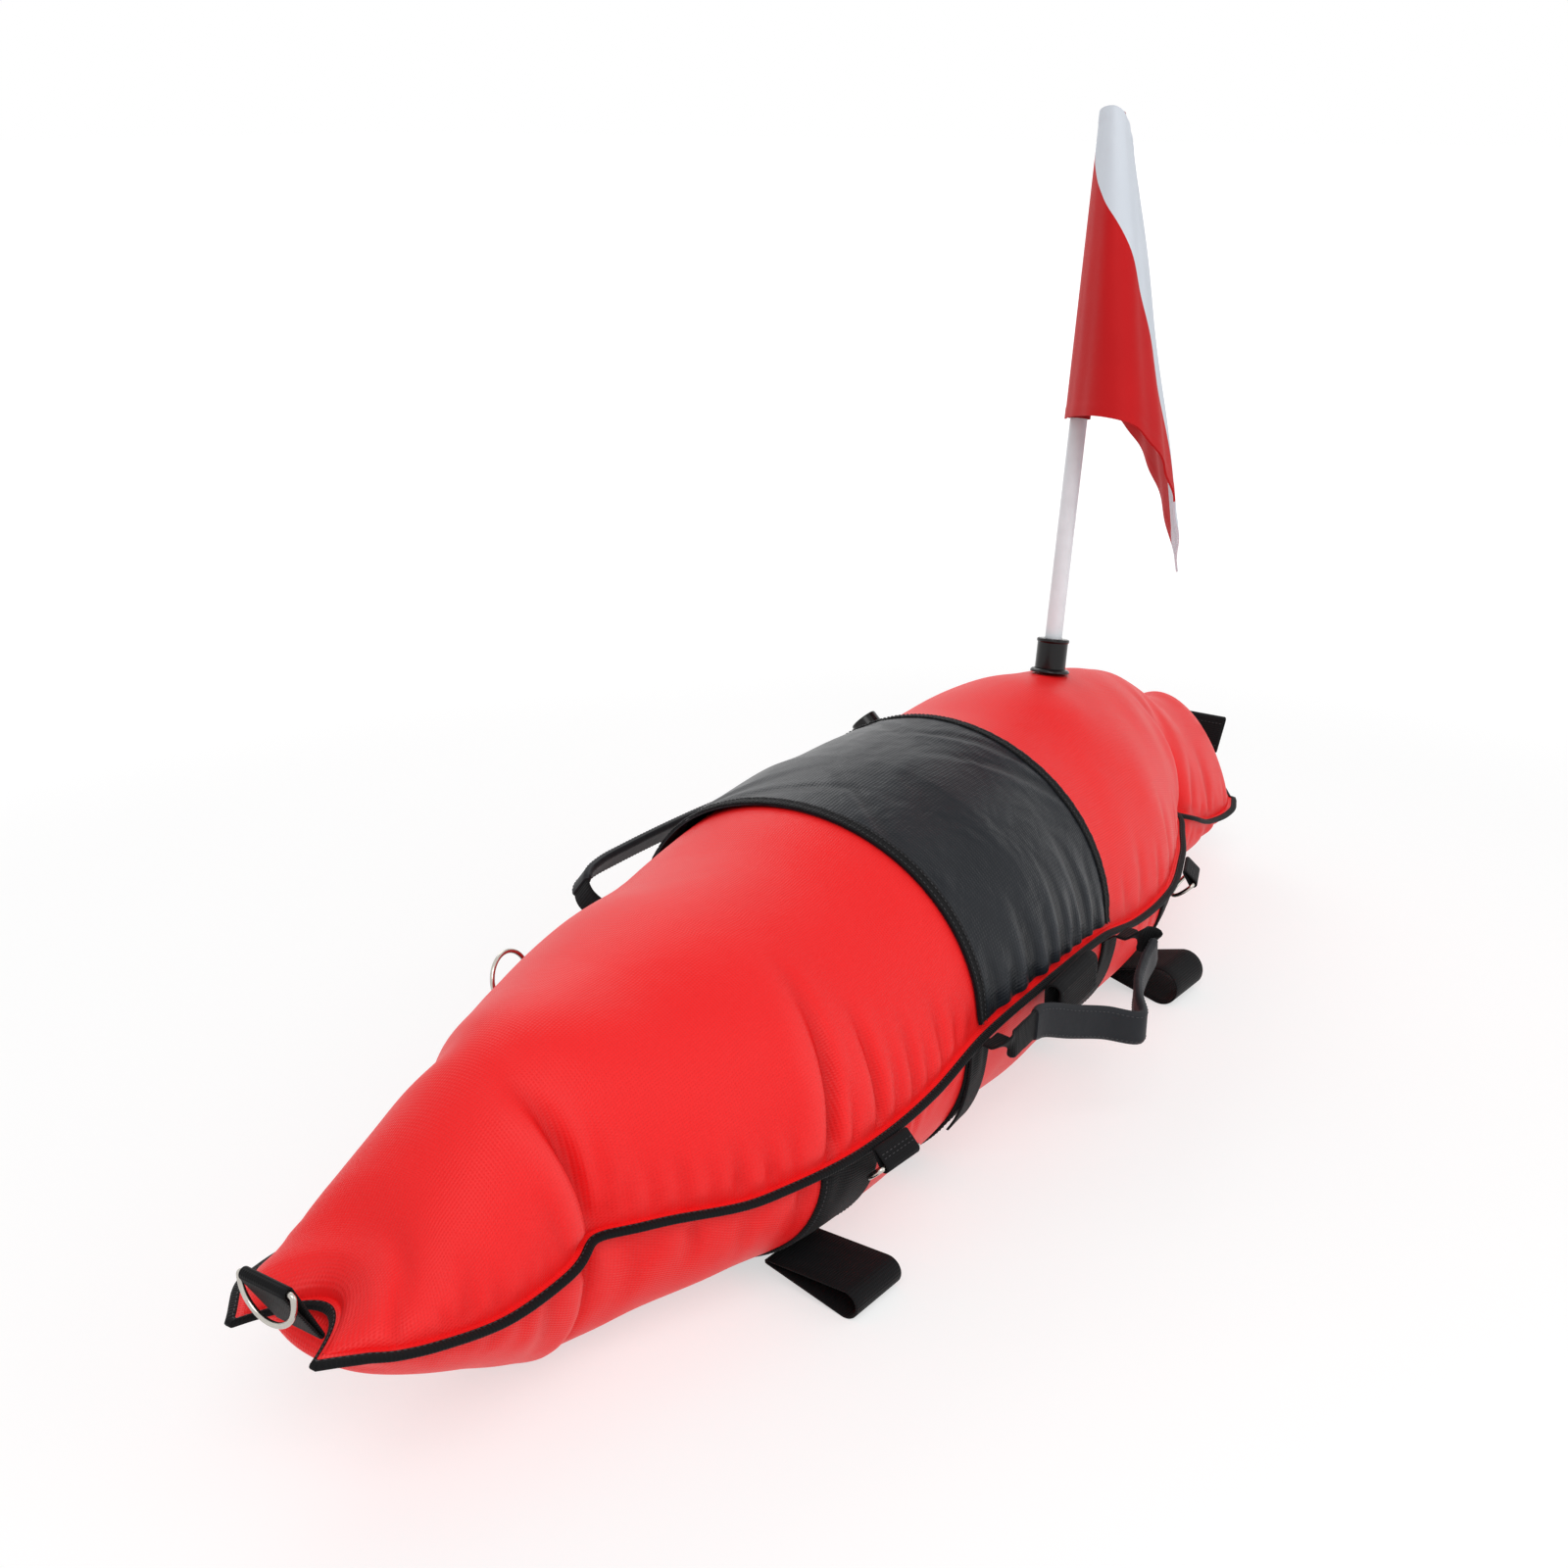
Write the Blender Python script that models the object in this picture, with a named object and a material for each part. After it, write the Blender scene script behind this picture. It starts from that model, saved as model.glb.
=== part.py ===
"""Dive flag float: an inflated torpedo bag with a flag on a mast.

Metres, +Z up. The bow, with its tow ring, points to -X, the flag stands near
the stern at +X, and the near side is -Y. The float rests on Z = 0.
"""
import math

import bmesh
import bpy
from mathutils import Matrix, Vector

for old in list(bpy.data.objects):
    bpy.data.objects.remove(old)

# bag
BAG_HALF_LENGTH = 0.535
BAG_HALF_WIDTH = 0.137
SEAM_HEIGHT = 0.116
CROWN_HEIGHT = 0.124
BOW_TIP_HEIGHT = 0.106
STERN_TIP_HEIGHT = 0.055
STERN_ARCH = 0.055
TIP_DEPTH = 0.034
BELLY_SAG = 0.010
BELLY_RISE = 0.052
BOW_PULL = 0.033
STERN_PULL = 0.012
FOLD_PLACE = 0.382
FOLD_NOTCH = 0.010
FOLD_SPREAD = 0.016
PANEL_FABRIC = 0.0010
BLADDER_WALL = 0.0006
SEAM_LIP = 0.0075
BINDING_TAPE = 0.0006
BINDING_SETBACK = 0.0012

# clearances
GAP = 0.0003
BLADDER_GAP = 0.0016

# webbing, straps and the black panel
GIRDLE_CENTRE = 0.010
STRAP_SPACING = 0.235
STRAP_WIDTH = 0.050
STRAP_FABRIC = 0.0018
HANDLE_SPACING = 0.0995
HANDLE_STRAP_WIDTH = 0.025
WEAR_PANEL_LENGTH = 0.194
WEAR_PANEL_FABRIC = 0.0012
WEAR_PANEL_STAND = 0.004
HEM_WIDTH = 0.010
HEM_FABRIC = 0.0010
TAIL_FABRIC = 0.0016
TAIL_STAND = 0.002

# handles
HANDLE_REACH = 0.054
HANDLE_DROP = 0.022
HANDLE_WEB_HEIGHT = 0.020
HANDLE_WEB_FABRIC = 0.0022
GRIP_WALL = 0.0016
FAR_HANDLE_RAISE = math.radians(38)

# side sleeve: a flat webbing tube on the seam
SLEEVE_LENGTH = 0.062
SLEEVE_DEPTH = 0.012
SLEEVE_HEIGHT = 0.030
SLEEVE_WALL = 0.0016
SLEEVE_SINK = 0.009

# rings and their tabs
RING_WIRE = 0.0016
RING_INNER_WIDTH = 0.034
RING_INNER_DROP = 0.019
RING_CORNER = 0.0022
EYE_CLEARANCE = 0.0004
TAB_FABRIC = 0.0014
TAB_WIDTH = 0.031
TAB_ROOT = 0.0018
SIDE_TAB_REACH = 0.011
SIDE_TAB_DROOP = math.radians(-52)
RAISED_TAB_REACH = 0.022
RAISED_TAB_RISE = math.radians(68)
FRONT_TAB_BEYOND_STRAP = 0.022
REAR_TAB_BEYOND_STRAP = 0.032
BOW_TAB_REACH = 0.038
BOW_TAB_RISE = math.radians(63)
STERN_TAB_REACH = 0.029
STERN_TAB_RISE = math.radians(60)
STERN_TAB_WIDTH = 0.040
STERN_TAB_SHIFT = 0.027
STERN_TAB_SEWN_WIDTH = 0.006
BOW_TAB_SEWN_WIDTH = 0.0316
FAR_RING_RAISE = math.radians(165)
NEAR_RING_TUCK = math.radians(-45)

# belly loops
LOOP_WIDTH = 0.045
FRONT_LOOP_REACH = 0.057
REAR_LOOP_REACH = 0.050
LOOP_YAW = math.radians(4)
FRONT_LOOP_FOLD = 0.0080
REAR_LOOP_FOLD = 0.0135
LOOP_PINCH = 0.0004
LOOP_FABRIC = 0.0014
LOOP_ROOT_SHARE = 0.6131

# mast
MAST_PLACE = 0.272
MAST_LEAN = math.radians(12.4)
MAST_SIDE_LEAN = math.radians(1.8)
SOCKET_SEAT = 0.0007
FLANGE_RADIUS = 0.0155
FLANGE_THICKNESS = 0.003
SOCKET_RADIUS = 0.012
SOCKET_HEIGHT = 0.027
SOCKET_FLOOR = 0.004
SOCKET_LIP = 0.0008
POLE_RADIUS = 0.0067
POLE_WALL = 0.0014
POLE_CLEARANCE = 0.0003
POLE_LENGTH = 0.422
PLUG_HEAD = 0.003
PLUG_SPIGOT = 0.010

# flag
FLAG_HOIST_LENGTH = 0.229
FLAG_FLY_LENGTH = 0.305
FLAG_CLOTH = 0.0009
FLAG_APEX_SHARE = 0.38
FLAG_BEARING = math.radians(-64.5)
FLAG_ROLL_HALF_WIDTH = math.radians(6.9)
FLAG_ROLL_HALF_DEPTH = math.radians(17.5)
FLAG_ROLL_BACK_DEPTH = math.radians(25)
HOIST_SLEEVE_RADIUS = 0.0090
HOIST_SLEEVE_WALL = 0.0008

# inflation valve
VALVE_PLACE = 0.160
VALVE_SHARE = 0.75
VALVE_SEAT = 0.0008
VALVE_FLANGE_RADIUS = 0.019
VALVE_FLANGE_THICKNESS = 0.002
VALVE_STEM_RADIUS = 0.009
VALVE_STEM_HEIGHT = 0.012
VALVE_BORE = 0.005
VALVE_CAP_WALL = 0.0015
VALVE_CAP_LIP = 0.002

# how the bag's section changes from its middle to its tip
STATION_SHARES = (0.0, 0.166, 0.288, 0.407, 0.553, 0.70, 0.86, 0.95, 1.0)
WIDTH_SHARES = (1.0, 0.975, 0.97, 0.935, 0.78)
BOW_WIDTH_SHARES = (0.53, 0.45, 0.36, 0.20)
STERN_WIDTH_SHARES = (0.57, 0.53, 0.51, 0.45)
SEAM_SHARES = (1.0, 0.95, 0.85, 0.81, 0.80)
BOW_SEAM_SHARES = (0.87, 0.80, 0.86)
STERN_SEAM_SHARES = (0.82, 0.57, 0.49)
BOW_CROWN_SHARES = (0.97, 0.95, 0.93, 0.95, 0.88, 0.77, 0.49, 0.25, 0.20)
STERN_CROWN_SHARES = (0.97, 1.03, 1.10, 1.17, 1.08, 0.92, 0.80, 0.66, 0.60)
RISE_SHARES = (0.0, 0.0, 0.0, 0.0, 0.14, 0.10)
BOW_RISE_SHARES = (0.85, 1.25)
STERN_RISE_SHARES = (0.30, 0.42)
BELLY_ROUNDNESS = 0.9
TIP_ROUNDNESS = 16
MITRE_SHARE = 0.8
BLADDER_LENGTH_SHARE = 0.84
PULL_START_SHARE = 0.80
WEAR_PANEL_BULGE_SHARE = 0.143
END_ROW_SHARES = (0.70, 0.75, 0.82, 0.88, 0.93, 0.97, 1.0)
MIDDLE_ROW_SHARES = (0.56, 0.65)
HALF_WAY_SHARES = (0.0, 0.012, 0.08, 0.16, 0.24, 0.32, 0.41)
HANDLE_SHARES = ((0.50, 0.00, 0.00), (0.50, 0.25, 0.00), (0.41, 0.27, -0.04), (0.28, 0.26, 0.04),
                 (0.15, 0.44, 0.44), (0.04, 0.67, 0.72), (-0.055, 1.00, 1.00), (-0.165, 0.79, 0.88),
                 (-0.28, 0.60, 0.80), (-0.41, 0.48, 0.64), (-0.50, 0.44, 0.44), (-0.54, 0.38, 0.22),
                 (-0.50, 0.25, 0.04), (-0.50, 0.00, 0.00))
FAR_HANDLE_SHARES = ((0.50, 0.00, 0.00), (0.50, 0.30, 0.00), (0.51, 0.62, 0.00), (0.48, 0.87, 0.00),
                     (0.39, 0.98, 0.00), (0.22, 1.01, 0.00), (0.05, 1.02, 0.00), (-0.12, 1.02, 0.00),
                     (-0.28, 1.01, 0.00), (-0.41, 0.99, 0.00), (-0.51, 0.90, 0.00), (-0.555, 0.66, 0.00),
                     (-0.53, 0.30, 0.00), (-0.50, 0.00, 0.00))
HANDLE_TWIST_SHARES = (0.034, 0.10)
ROOT_NOSE_SHARES = (1.2, 0.44)
GRIP_START_SHARE = 0.20
GRIP_END_SHARE = 0.80
CORNER_SEGMENTS = 3
ARC_SEGMENTS = 10
ROUND_SEGMENTS = 24


def across_shares():
    """Places from the near seam, over the middle, to the far seam."""
    return HALF_WAY_SHARES + (0.5,) + tuple(1 - share for share in reversed(HALF_WAY_SHARES))


def curve_through(places, values, at):
    """Value at a place on a smooth curve that doesn't overshoot its points."""
    steps = [(values[i + 1] - values[i]) / (places[i + 1] - places[i]) for i in range(len(places) - 1)]
    slopes = [steps[0]]
    for before, after in zip(steps, steps[1:]):
        slopes.append(0.0 if before * after <= 0 else 2 * before * after / (before + after))
    slopes.append(steps[-1])
    i = 0
    while i < len(places) - 2 and at > places[i + 1]:
        i += 1
    width = places[i + 1] - places[i]
    s = min(max((at - places[i]) / width, 0.0), 1.0)
    return ((1 + 2 * s) * (1 - s) ** 2 * values[i] + s * (1 - s) ** 2 * width * slopes[i]
            + s * s * (3 - 2 * s) * values[i + 1] - s * s * (1 - s) * width * slopes[i + 1])


def smooth_step(s):
    s = min(max(s, 0.0), 1.0)
    return s * s * (3 - 2 * s)


def by_end(x, bow, stern):
    return bow if x < 0 else stern


def tip_height(x):
    return by_end(x, BOW_TIP_HEIGHT, STERN_TIP_HEIGHT)


def end_share(x):
    return min(abs(x) / BAG_HALF_LENGTH, 1.0)


def level_end_share(x):
    """Share of the way to the tip, which is reached one row early, so that the last one is level."""
    return min(end_share(x) / END_ROW_SHARES[-2], 1.0)


def tip_rounding(x):
    return math.sqrt(max(0.0, 1 - end_share(x) ** TIP_ROUNDNESS))


def half_width(x):
    shares = WIDTH_SHARES + by_end(x, BOW_WIDTH_SHARES, STERN_WIDTH_SHARES)
    notch = FOLD_NOTCH * math.exp(-((abs(x) - FOLD_PLACE) / FOLD_SPREAD) ** 2)
    return BAG_HALF_WIDTH * curve_through(STATION_SHARES, shares, end_share(x)) - notch


def end_ramp(x):
    return smooth_step((end_share(x) - PULL_START_SHARE) / (1 - PULL_START_SHARE))


def seam_height(x, t=0.0):
    """Height of the seam, or of the surface through it that arches up at the stern."""
    shares = SEAM_SHARES + by_end(x, BOW_SEAM_SHARES, STERN_SEAM_SHARES)
    heights = [SEAM_HEIGHT * share for share in shares] + [tip_height(x)]
    arch = by_end(x, 0.0, STERN_ARCH) * smooth_step(level_end_share(x)) * end_ramp(x)
    return curve_through(STATION_SHARES, heights, level_end_share(x)) + arch * math.sin(math.pi * t) ** 2


def crown(x):
    shares = by_end(x, BOW_CROWN_SHARES, STERN_CROWN_SHARES)
    return CROWN_HEIGHT * curve_through(STATION_SHARES, shares, end_share(x)) * tip_rounding(x)


def belly_depth(x):
    shares = RISE_SHARES + by_end(x, BOW_RISE_SHARES, STERN_RISE_SHARES)
    rises = [BELLY_RISE * share for share in shares] + [tip_height(x) - TIP_DEPTH]
    lowest = curve_through(STATION_SHARES, rises, end_share(x))
    sag = BELLY_SAG * (1 - smooth_step(end_share(x) / STATION_SHARES[4]))
    return (seam_height(x) - lowest + sag) * tip_rounding(x)


def pulled(x, t):
    """The middle of each end is drawn in between its two corners."""
    pull = by_end(x, BOW_PULL, STERN_PULL) * end_ramp(x)
    return x - math.copysign(pull * math.sin(math.pi * t) ** 2, x)


def belly_rest():
    """The bag's own underside clears the floor by the straps beneath it."""
    return STRAP_FABRIC + GAP


def upper_skin(x, t, out):
    """Point on the top, t from the near seam to the far one, out beyond the panel's face."""
    y = -(half_width(x) + out * tip_rounding(x)) * math.cos(math.pi * t)
    z = seam_height(x, t) + GAP / 2 + PANEL_FABRIC + out + crown(x) * math.sin(math.pi * t)
    return Vector((pulled(x, t), y, z))


def lower_skin(x, t, out):
    """Point on the belly, flat where the float rests."""
    y = -(half_width(x) + out * tip_rounding(x)) * math.cos(math.pi * t)
    drop = belly_depth(x) * math.sin(math.pi * t) ** BELLY_ROUNDNESS
    z = seam_height(x, t) - GAP / 2 - PANEL_FABRIC - out - drop
    return Vector((pulled(x, t), y, max(z, belly_rest() - out)))


def girdle_lines():
    """Places along the bag where something sewn on begins or ends."""
    offsets = [0.0, WEAR_PANEL_LENGTH / 4, WEAR_PANEL_LENGTH / 2 - HEM_WIDTH, WEAR_PANEL_LENGTH / 2,
               HANDLE_SPACING + HANDLE_STRAP_WIDTH / 2, STRAP_SPACING - STRAP_WIDTH / 2,
               STRAP_SPACING + STRAP_WIDTH / 2, HANDLE_SPACING - HANDLE_STRAP_WIDTH / 2]
    offsets.append((offsets[4] + offsets[5]) / 2)
    lines = {round(GIRDLE_CENTRE + side * offset, 6) for offset in offsets for side in (-1, 1)}
    return sorted(lines | {MAST_PLACE, VALVE_PLACE})


def bag_rows():
    ends = {round(side * BAG_HALF_LENGTH * share, 6)
            for share in END_ROW_SHARES + MIDDLE_ROW_SHARES for side in (-1, 1)}
    return sorted(ends | set(girdle_lines()))


def seam_loop(rows, shares):
    """Row and share of each point round the seam: near side, stern, far side, bow."""
    last = len(rows) - 1
    end = len(shares) - 1
    near = [(i, 0) for i in range(last)]
    stern = [(last, j) for j in range(end)]
    far = [(i, end) for i in range(last, 0, -1)]
    bow = [(0, j) for j in range(end, 0, -1)]
    return near + stern + far + bow


def plan_point(x, t):
    return Vector((pulled(x, t), -half_width(x) * math.cos(math.pi * t), 0.0))


def straight_plan_point(x, t):
    return Vector((x, -half_width(x) * math.cos(math.pi * t), 0.0))


def loop_normals(points):
    """Outward plan normals, lengthened at a corner so that an offset keeps its width."""
    normals = []
    for k, point in enumerate(points):
        before = (point - points[k - 1]).normalized()
        after = (points[(k + 1) % len(points)] - point).normalized()
        first = Vector((before.y, -before.x, 0))
        second = Vector((after.y, -after.x, 0))
        middle = (first + second).normalized()
        normals.append(middle / max(middle.dot(first), MITRE_SHARE))
    return normals


def material(name, colour, roughness, metallic=0.0):
    made = bpy.data.materials.new(name)
    made.use_nodes = True
    shader = made.node_tree.nodes["Principled BSDF"]
    shader.inputs["Base Color"].default_value = (*colour, 1.0)
    shader.inputs["Roughness"].default_value = roughness
    shader.inputs["Metallic"].default_value = metallic
    made.diffuse_color = (*colour, 1.0)
    return made


def finish(name, mesh, finish_name, place=None):
    """Name, colour and place an object, with its round faces shaded smooth."""
    mesh.name = name
    mesh.shade_smooth()
    mesh.set_sharp_from_angle(angle=math.radians(40))
    made = bpy.data.objects.new(name, mesh)
    colour, roughness, metallic = FINISHES[finish_name]
    mesh.materials.append(material(name, colour, roughness, metallic))
    bpy.context.collection.objects.link(made)
    if place is not None:
        made.matrix_world = place
    return made


def solid(name, points, faces, finish_name, place=None):
    mesh = bpy.data.meshes.new(name)
    form = bmesh.new()
    corners = [form.verts.new(point) for point in points]
    for face in faces:
        form.faces.new([corners[k] for k in face])
    bmesh.ops.recalc_face_normals(form, faces=form.faces)
    form.to_mesh(mesh)
    form.free()
    return finish(name, mesh, finish_name, place)


def split_quad(a, b, c, d):
    """Two triangles with the same diagonal on every layer, so that layers stay parallel."""
    return [(a, b, c), (a, c, d)]


def layered_grid(outer, inner):
    """Closed body between two grids of points, as a point list and its faces."""
    rows, columns = len(outer), len(outer[0])
    count = rows * columns
    points = [p for row in outer for p in row] + [p for row in inner for p in row]
    faces = []
    for i in range(rows - 1):
        for j in range(columns - 1):
            a = i * columns + j
            quad = (a, a + columns, a + columns + 1, a + 1)
            faces += split_quad(*quad)
            faces += [tuple(k + count for k in face[::-1]) for face in split_quad(*quad)]
    rim = ([(i, 0) for i in range(rows)] + [(rows - 1, j) for j in range(1, columns)]
           + [(i, columns - 1) for i in range(rows - 2, -1, -1)]
           + [(0, j) for j in range(columns - 2, 0, -1)])
    for k, (i, j) in enumerate(rim):
        m, n = rim[(k + 1) % len(rim)]
        a, b = i * columns + j, m * columns + n
        faces.append((b, a, a + count, b + count))
    return points, faces


def sheet(name, skin, rows, shares, inner_out, outer_out, finish_name):
    """A layer of fabric that follows the bag between two distances from its face."""
    outer = [[skin(x, t, outer_out(x, t)) for t in shares] for x in rows]
    inner = [[skin(x, t, inner_out(x, t)) for t in shares] for x in rows]
    return solid(name, *layered_grid(outer, inner), finish_name)


def bag_panel(name, skin, rows, shares):
    """Half of the cover: its shell, and the lip round it that is sewn into the seam."""
    outer = [[skin(x, t, 0.0) for t in shares] for x in rows]
    inner = [[skin(x, t, -PANEL_FABRIC) for t in shares] for x in rows]
    columns = len(shares)
    count = len(rows) * columns
    points = [p for row in outer for p in row] + [p for row in inner for p in row]
    faces = []
    for i in range(len(rows) - 1):
        for j in range(columns - 1):
            a = i * columns + j
            for face in split_quad(a, a + columns, a + columns + 1, a + 1):
                faces += [face, tuple(k + count for k in face[::-1])]
    loop = seam_loop(rows, shares)
    plan = [plan_point(rows[i], shares[j]) for i, j in loop]
    normals = loop_normals([straight_plan_point(rows[i], shares[j]) for i, j in loop])
    first_tip = len(points)
    for (i, j), at, outward in zip(loop, plan, normals):
        tip = at + SEAM_LIP * outward
        points.append(Vector((tip.x, tip.y, outer[i][j].z)))
        points.append(Vector((tip.x, tip.y, inner[i][j].z)))
    for k, (i, j) in enumerate(loop):
        m, n = loop[(k + 1) % len(loop)]
        a, b = i * columns + j, m * columns + n
        tip, next_tip = first_tip + 2 * k, first_tip + 2 * ((k + 1) % len(loop))
        faces += split_quad(a, b, next_tip, tip)
        faces += split_quad(a + count, b + count, next_tip + 1, tip + 1)
        faces.append((tip, next_tip, next_tip + 1, tip + 1))
    return solid(name, points, faces, "red fabric")


def seam_binding(rows, shares):
    """Tape folded over both lips all the way round."""
    loop = seam_loop(rows, shares)
    plan = [plan_point(rows[i], shares[j]) for i, j in loop]
    normals = loop_normals([straight_plan_point(rows[i], shares[j]) for i, j in loop])
    inside = GAP / 2 + PANEL_FABRIC + GAP
    outside = inside + BINDING_TAPE
    fold = SEAM_LIP + GAP
    back = fold + BINDING_TAPE
    section = [(BINDING_SETBACK, outside), (back, outside), (back, -outside), (BINDING_SETBACK, -outside),
               (BINDING_SETBACK, -inside), (fold, -inside), (fold, inside), (BINDING_SETBACK, inside)]
    points, faces = [], []
    for (i, j), at, outward in zip(loop, plan, normals):
        for reach, rise in section:
            point = at + reach * outward
            points.append(Vector((point.x, point.y, seam_height(rows[i], shares[j]) + rise)))
    size = len(section)
    for k in range(len(loop)):
        following = (k + 1) % len(loop)
        for s in range(size):
            r = (s + 1) % size
            near, tip = sorted((s, r), key=lambda n: section[n][0])
            here, there = k * size, following * size
            faces += split_quad(here + near, there + near, there + tip, here + tip)
    return solid("seam_binding", points, faces, "black webbing")


def bladder_ring(x, shares, inset):
    """Section of the bladder, round the top from the near seam and back under."""
    inset += PANEL_FABRIC + BLADDER_GAP
    half = half_width(x) - inset
    ring = []
    for t in shares:
        up = max(crown(x) - inset, 0.0) * math.sin(math.pi * t)
        ring.append(Vector((pulled(x, t), -half * math.cos(math.pi * t), seam_height(x, t) + up)))
    for t in shares[-2:0:-1]:
        down = max(belly_depth(x) - inset, 0.0) * math.sin(math.pi * t) ** BELLY_ROUNDNESS
        z = max(seam_height(x, t) - down, belly_rest() + inset)
        ring.append(Vector((pulled(x, t), -half * math.cos(math.pi * t), z)))
    return ring


def bladder(rows):
    """Air bladder: a thin closed bag with one port under the valve."""
    shares = tuple(t for t in across_shares() if t not in (across_shares()[1], across_shares()[-2]))
    limit = BAG_HALF_LENGTH * BLADDER_LENGTH_SHARE
    rows = [x for x in rows if abs(x) <= limit]
    inner_rows = [rows[0] + BLADDER_WALL] + rows[1:-1] + [rows[-1] - BLADDER_WALL]
    outer = [bladder_ring(x, shares, 0.0) for x in rows]
    inner = [bladder_ring(x, shares, BLADDER_WALL) for x in inner_rows]
    size = len(outer[0])
    count = len(rows) * size
    points = [p for row in outer for p in row] + [p for row in inner for p in row]
    port_row = rows.index(VALVE_PLACE)
    port_column = max(j for j, t in enumerate(shares) if t <= VALVE_SHARE)
    faces = []
    for i in range(len(rows) - 1):
        for s in range(size):
            a, b = i * size + s, i * size + (s + 1) % size
            if i == port_row and s == port_column:
                corners = (a, b, b + size, a + size)
                for p, q in zip(corners, corners[1:] + corners[:1]):
                    faces.append((p, q, q + count, p + count))
                continue
            for face in split_quad(a, a + size, b + size, b):
                faces += [face, tuple(k + count for k in face[::-1])]
    half = len(shares) - 1
    for start in (0, (len(rows) - 1) * size):
        for s in range(half):
            top, next_top = start + s, start + s + 1
            low, next_low = start + (size - s) % size, start + (size - s - 1) % size
            face = [top, next_top, next_low, low]
            face = tuple(k for n, k in enumerate(face) if k not in face[:n])
            faces += [face, tuple(k + count for k in face[::-1])]
    return solid("inner_bladder", points, faces, "bladder film")


def belt_outline(tail_radius, head_radius, distance, segments):
    """Outline of a belt round two circles, the tail at zero and the head at the distance."""
    slope = math.asin((head_radius - tail_radius) / distance) if distance else 0.0
    turn = math.pi / 2 + slope
    head = [(-turn + 2 * turn * k / segments, distance, head_radius) for k in range(segments + 1)]
    rest = 2 * math.pi - 2 * turn
    tail = [(turn + rest * k / segments, 0.0, tail_radius) for k in range(segments + 1)]
    return [(centre + radius * math.cos(a), radius * math.sin(a)) for a, centre, radius in head + tail]


def band(name, outer, inner, width, finish_name, place):
    """A strip of webbing in a closed loop, its width along the local X."""
    size = len(outer)
    points = [Vector((side * width / 2, a, b)) for side in (-1, 1) for outline in (outer, inner)
              for a, b in outline]
    faces = []
    for k in range(size):
        n = (k + 1) % size
        faces.append((k, n, n + 2 * size, k + 2 * size))
        faces.append((k + size, k + 3 * size, n + 3 * size, n + size))
        faces.append((k, k + size, n + size, n))
        faces.append((k + 2 * size, n + 2 * size, n + 3 * size, k + 3 * size))
    return solid(name, points, faces, finish_name, place)


def frame_at(origin, outward):
    """Local X along the seam, local Y outward, local Z up."""
    outward = Vector(outward).normalized()
    along = outward.cross(Vector((0, 0, 1))).normalized()
    up = along.cross(outward)
    turn = Matrix((along, outward, up)).transposed().to_4x4()
    return Matrix.Translation(origin) @ turn


def binding_face():
    return SEAM_LIP + GAP + BINDING_TAPE


def seam_frame(x, side):
    """Frame on the outside of the binding at a place along the near (-1) or far (1) seam."""
    step = BINDING_SETBACK
    slope = (half_width(x + step) - half_width(x - step)) / (2 * step)
    outward = Vector((-slope, side, 0)).normalized()
    seam = Vector((x, side * half_width(x), seam_height(x)))
    return frame_at(seam + binding_face() * outward, outward)


def end_frame(side, width, shift=0.0):
    """Frame just outside the drawn-in binding of the bow (-1) or the stern (1)."""
    x = side * BAG_HALF_LENGTH
    middle = math.acos(shift / half_width(x)) / math.pi
    edge = math.acos((shift + width / 2) / half_width(x)) / math.pi
    seam = Vector((pulled(x, edge), -shift, seam_height(x, middle)))
    return frame_at(seam + side * binding_face() * Vector((1, 0, 0)), Vector((side, 0, 0)))


def ring_tab(name, place, reach, rise, width=TAB_WIDTH):
    """Webbing tab whose outer end is sewn round the bar of a ring."""
    stand = GAP + TAB_ROOT
    place = place @ Matrix.Translation((0, stand, 0)) @ Matrix.Rotation(rise, 4, "X")
    eye = RING_WIRE + EYE_CLEARANCE
    outer = belt_outline(TAB_ROOT, eye + TAB_FABRIC, reach, ARC_SEGMENTS)
    around = [2 * math.pi * k / len(outer) - math.pi / 2 for k in range(len(outer))]
    hole = [(reach + eye * math.cos(a), eye * math.sin(a)) for a in around]
    band(name, outer, hole, width, "black webbing", place)
    return place @ Matrix.Translation((0, reach, 0))


def ring_path():
    """Centre line of a D ring, its straight bar at zero and its bow hanging to -Z."""
    half = RING_INNER_WIDTH / 2 + RING_WIRE
    drop = RING_INNER_DROP + 2 * RING_WIRE
    straight = drop - half
    path = []
    for side in (1, -1):
        arc = []
        for k in range(CORNER_SEGMENTS + 1):
            a = math.pi / 2 * k / CORNER_SEGMENTS
            x = half - RING_CORNER + RING_CORNER * math.sin(a)
            arc.append((side * x, -RING_CORNER + RING_CORNER * math.cos(a)))
        path.append(arc)
    turns = [math.pi * k / ARC_SEGMENTS for k in range(ARC_SEGMENTS + 1)]
    bow = [(half * math.cos(a), -straight - half * math.sin(a)) for a in turns]
    return path[0] + bow + path[1][::-1]


def d_ring(name, bar, swing):
    """Wire D ring hung by its bar; its origin lies on the bar."""
    line = bpy.data.curves.new(name, "CURVE")
    line.dimensions = "3D"
    line.bevel_depth = RING_WIRE
    line.bevel_resolution = 2
    path = line.splines.new("POLY")
    points = ring_path()
    path.points.add(len(points) - 1)
    for point, (x, z) in zip(path.points, points):
        point.co = (x, 0, z, 1)
    path.use_cyclic_u = True
    shape = bpy.data.objects.new(name + "_line", line)
    mesh = bpy.data.meshes.new_from_object(shape)
    bpy.data.objects.remove(shape)
    bar_level = Matrix.Translation(bar.to_translation()) @ level_turn(bar) @ Matrix.Rotation(swing, 4, "X")
    return finish(name, mesh, "steel", bar_level)


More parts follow.
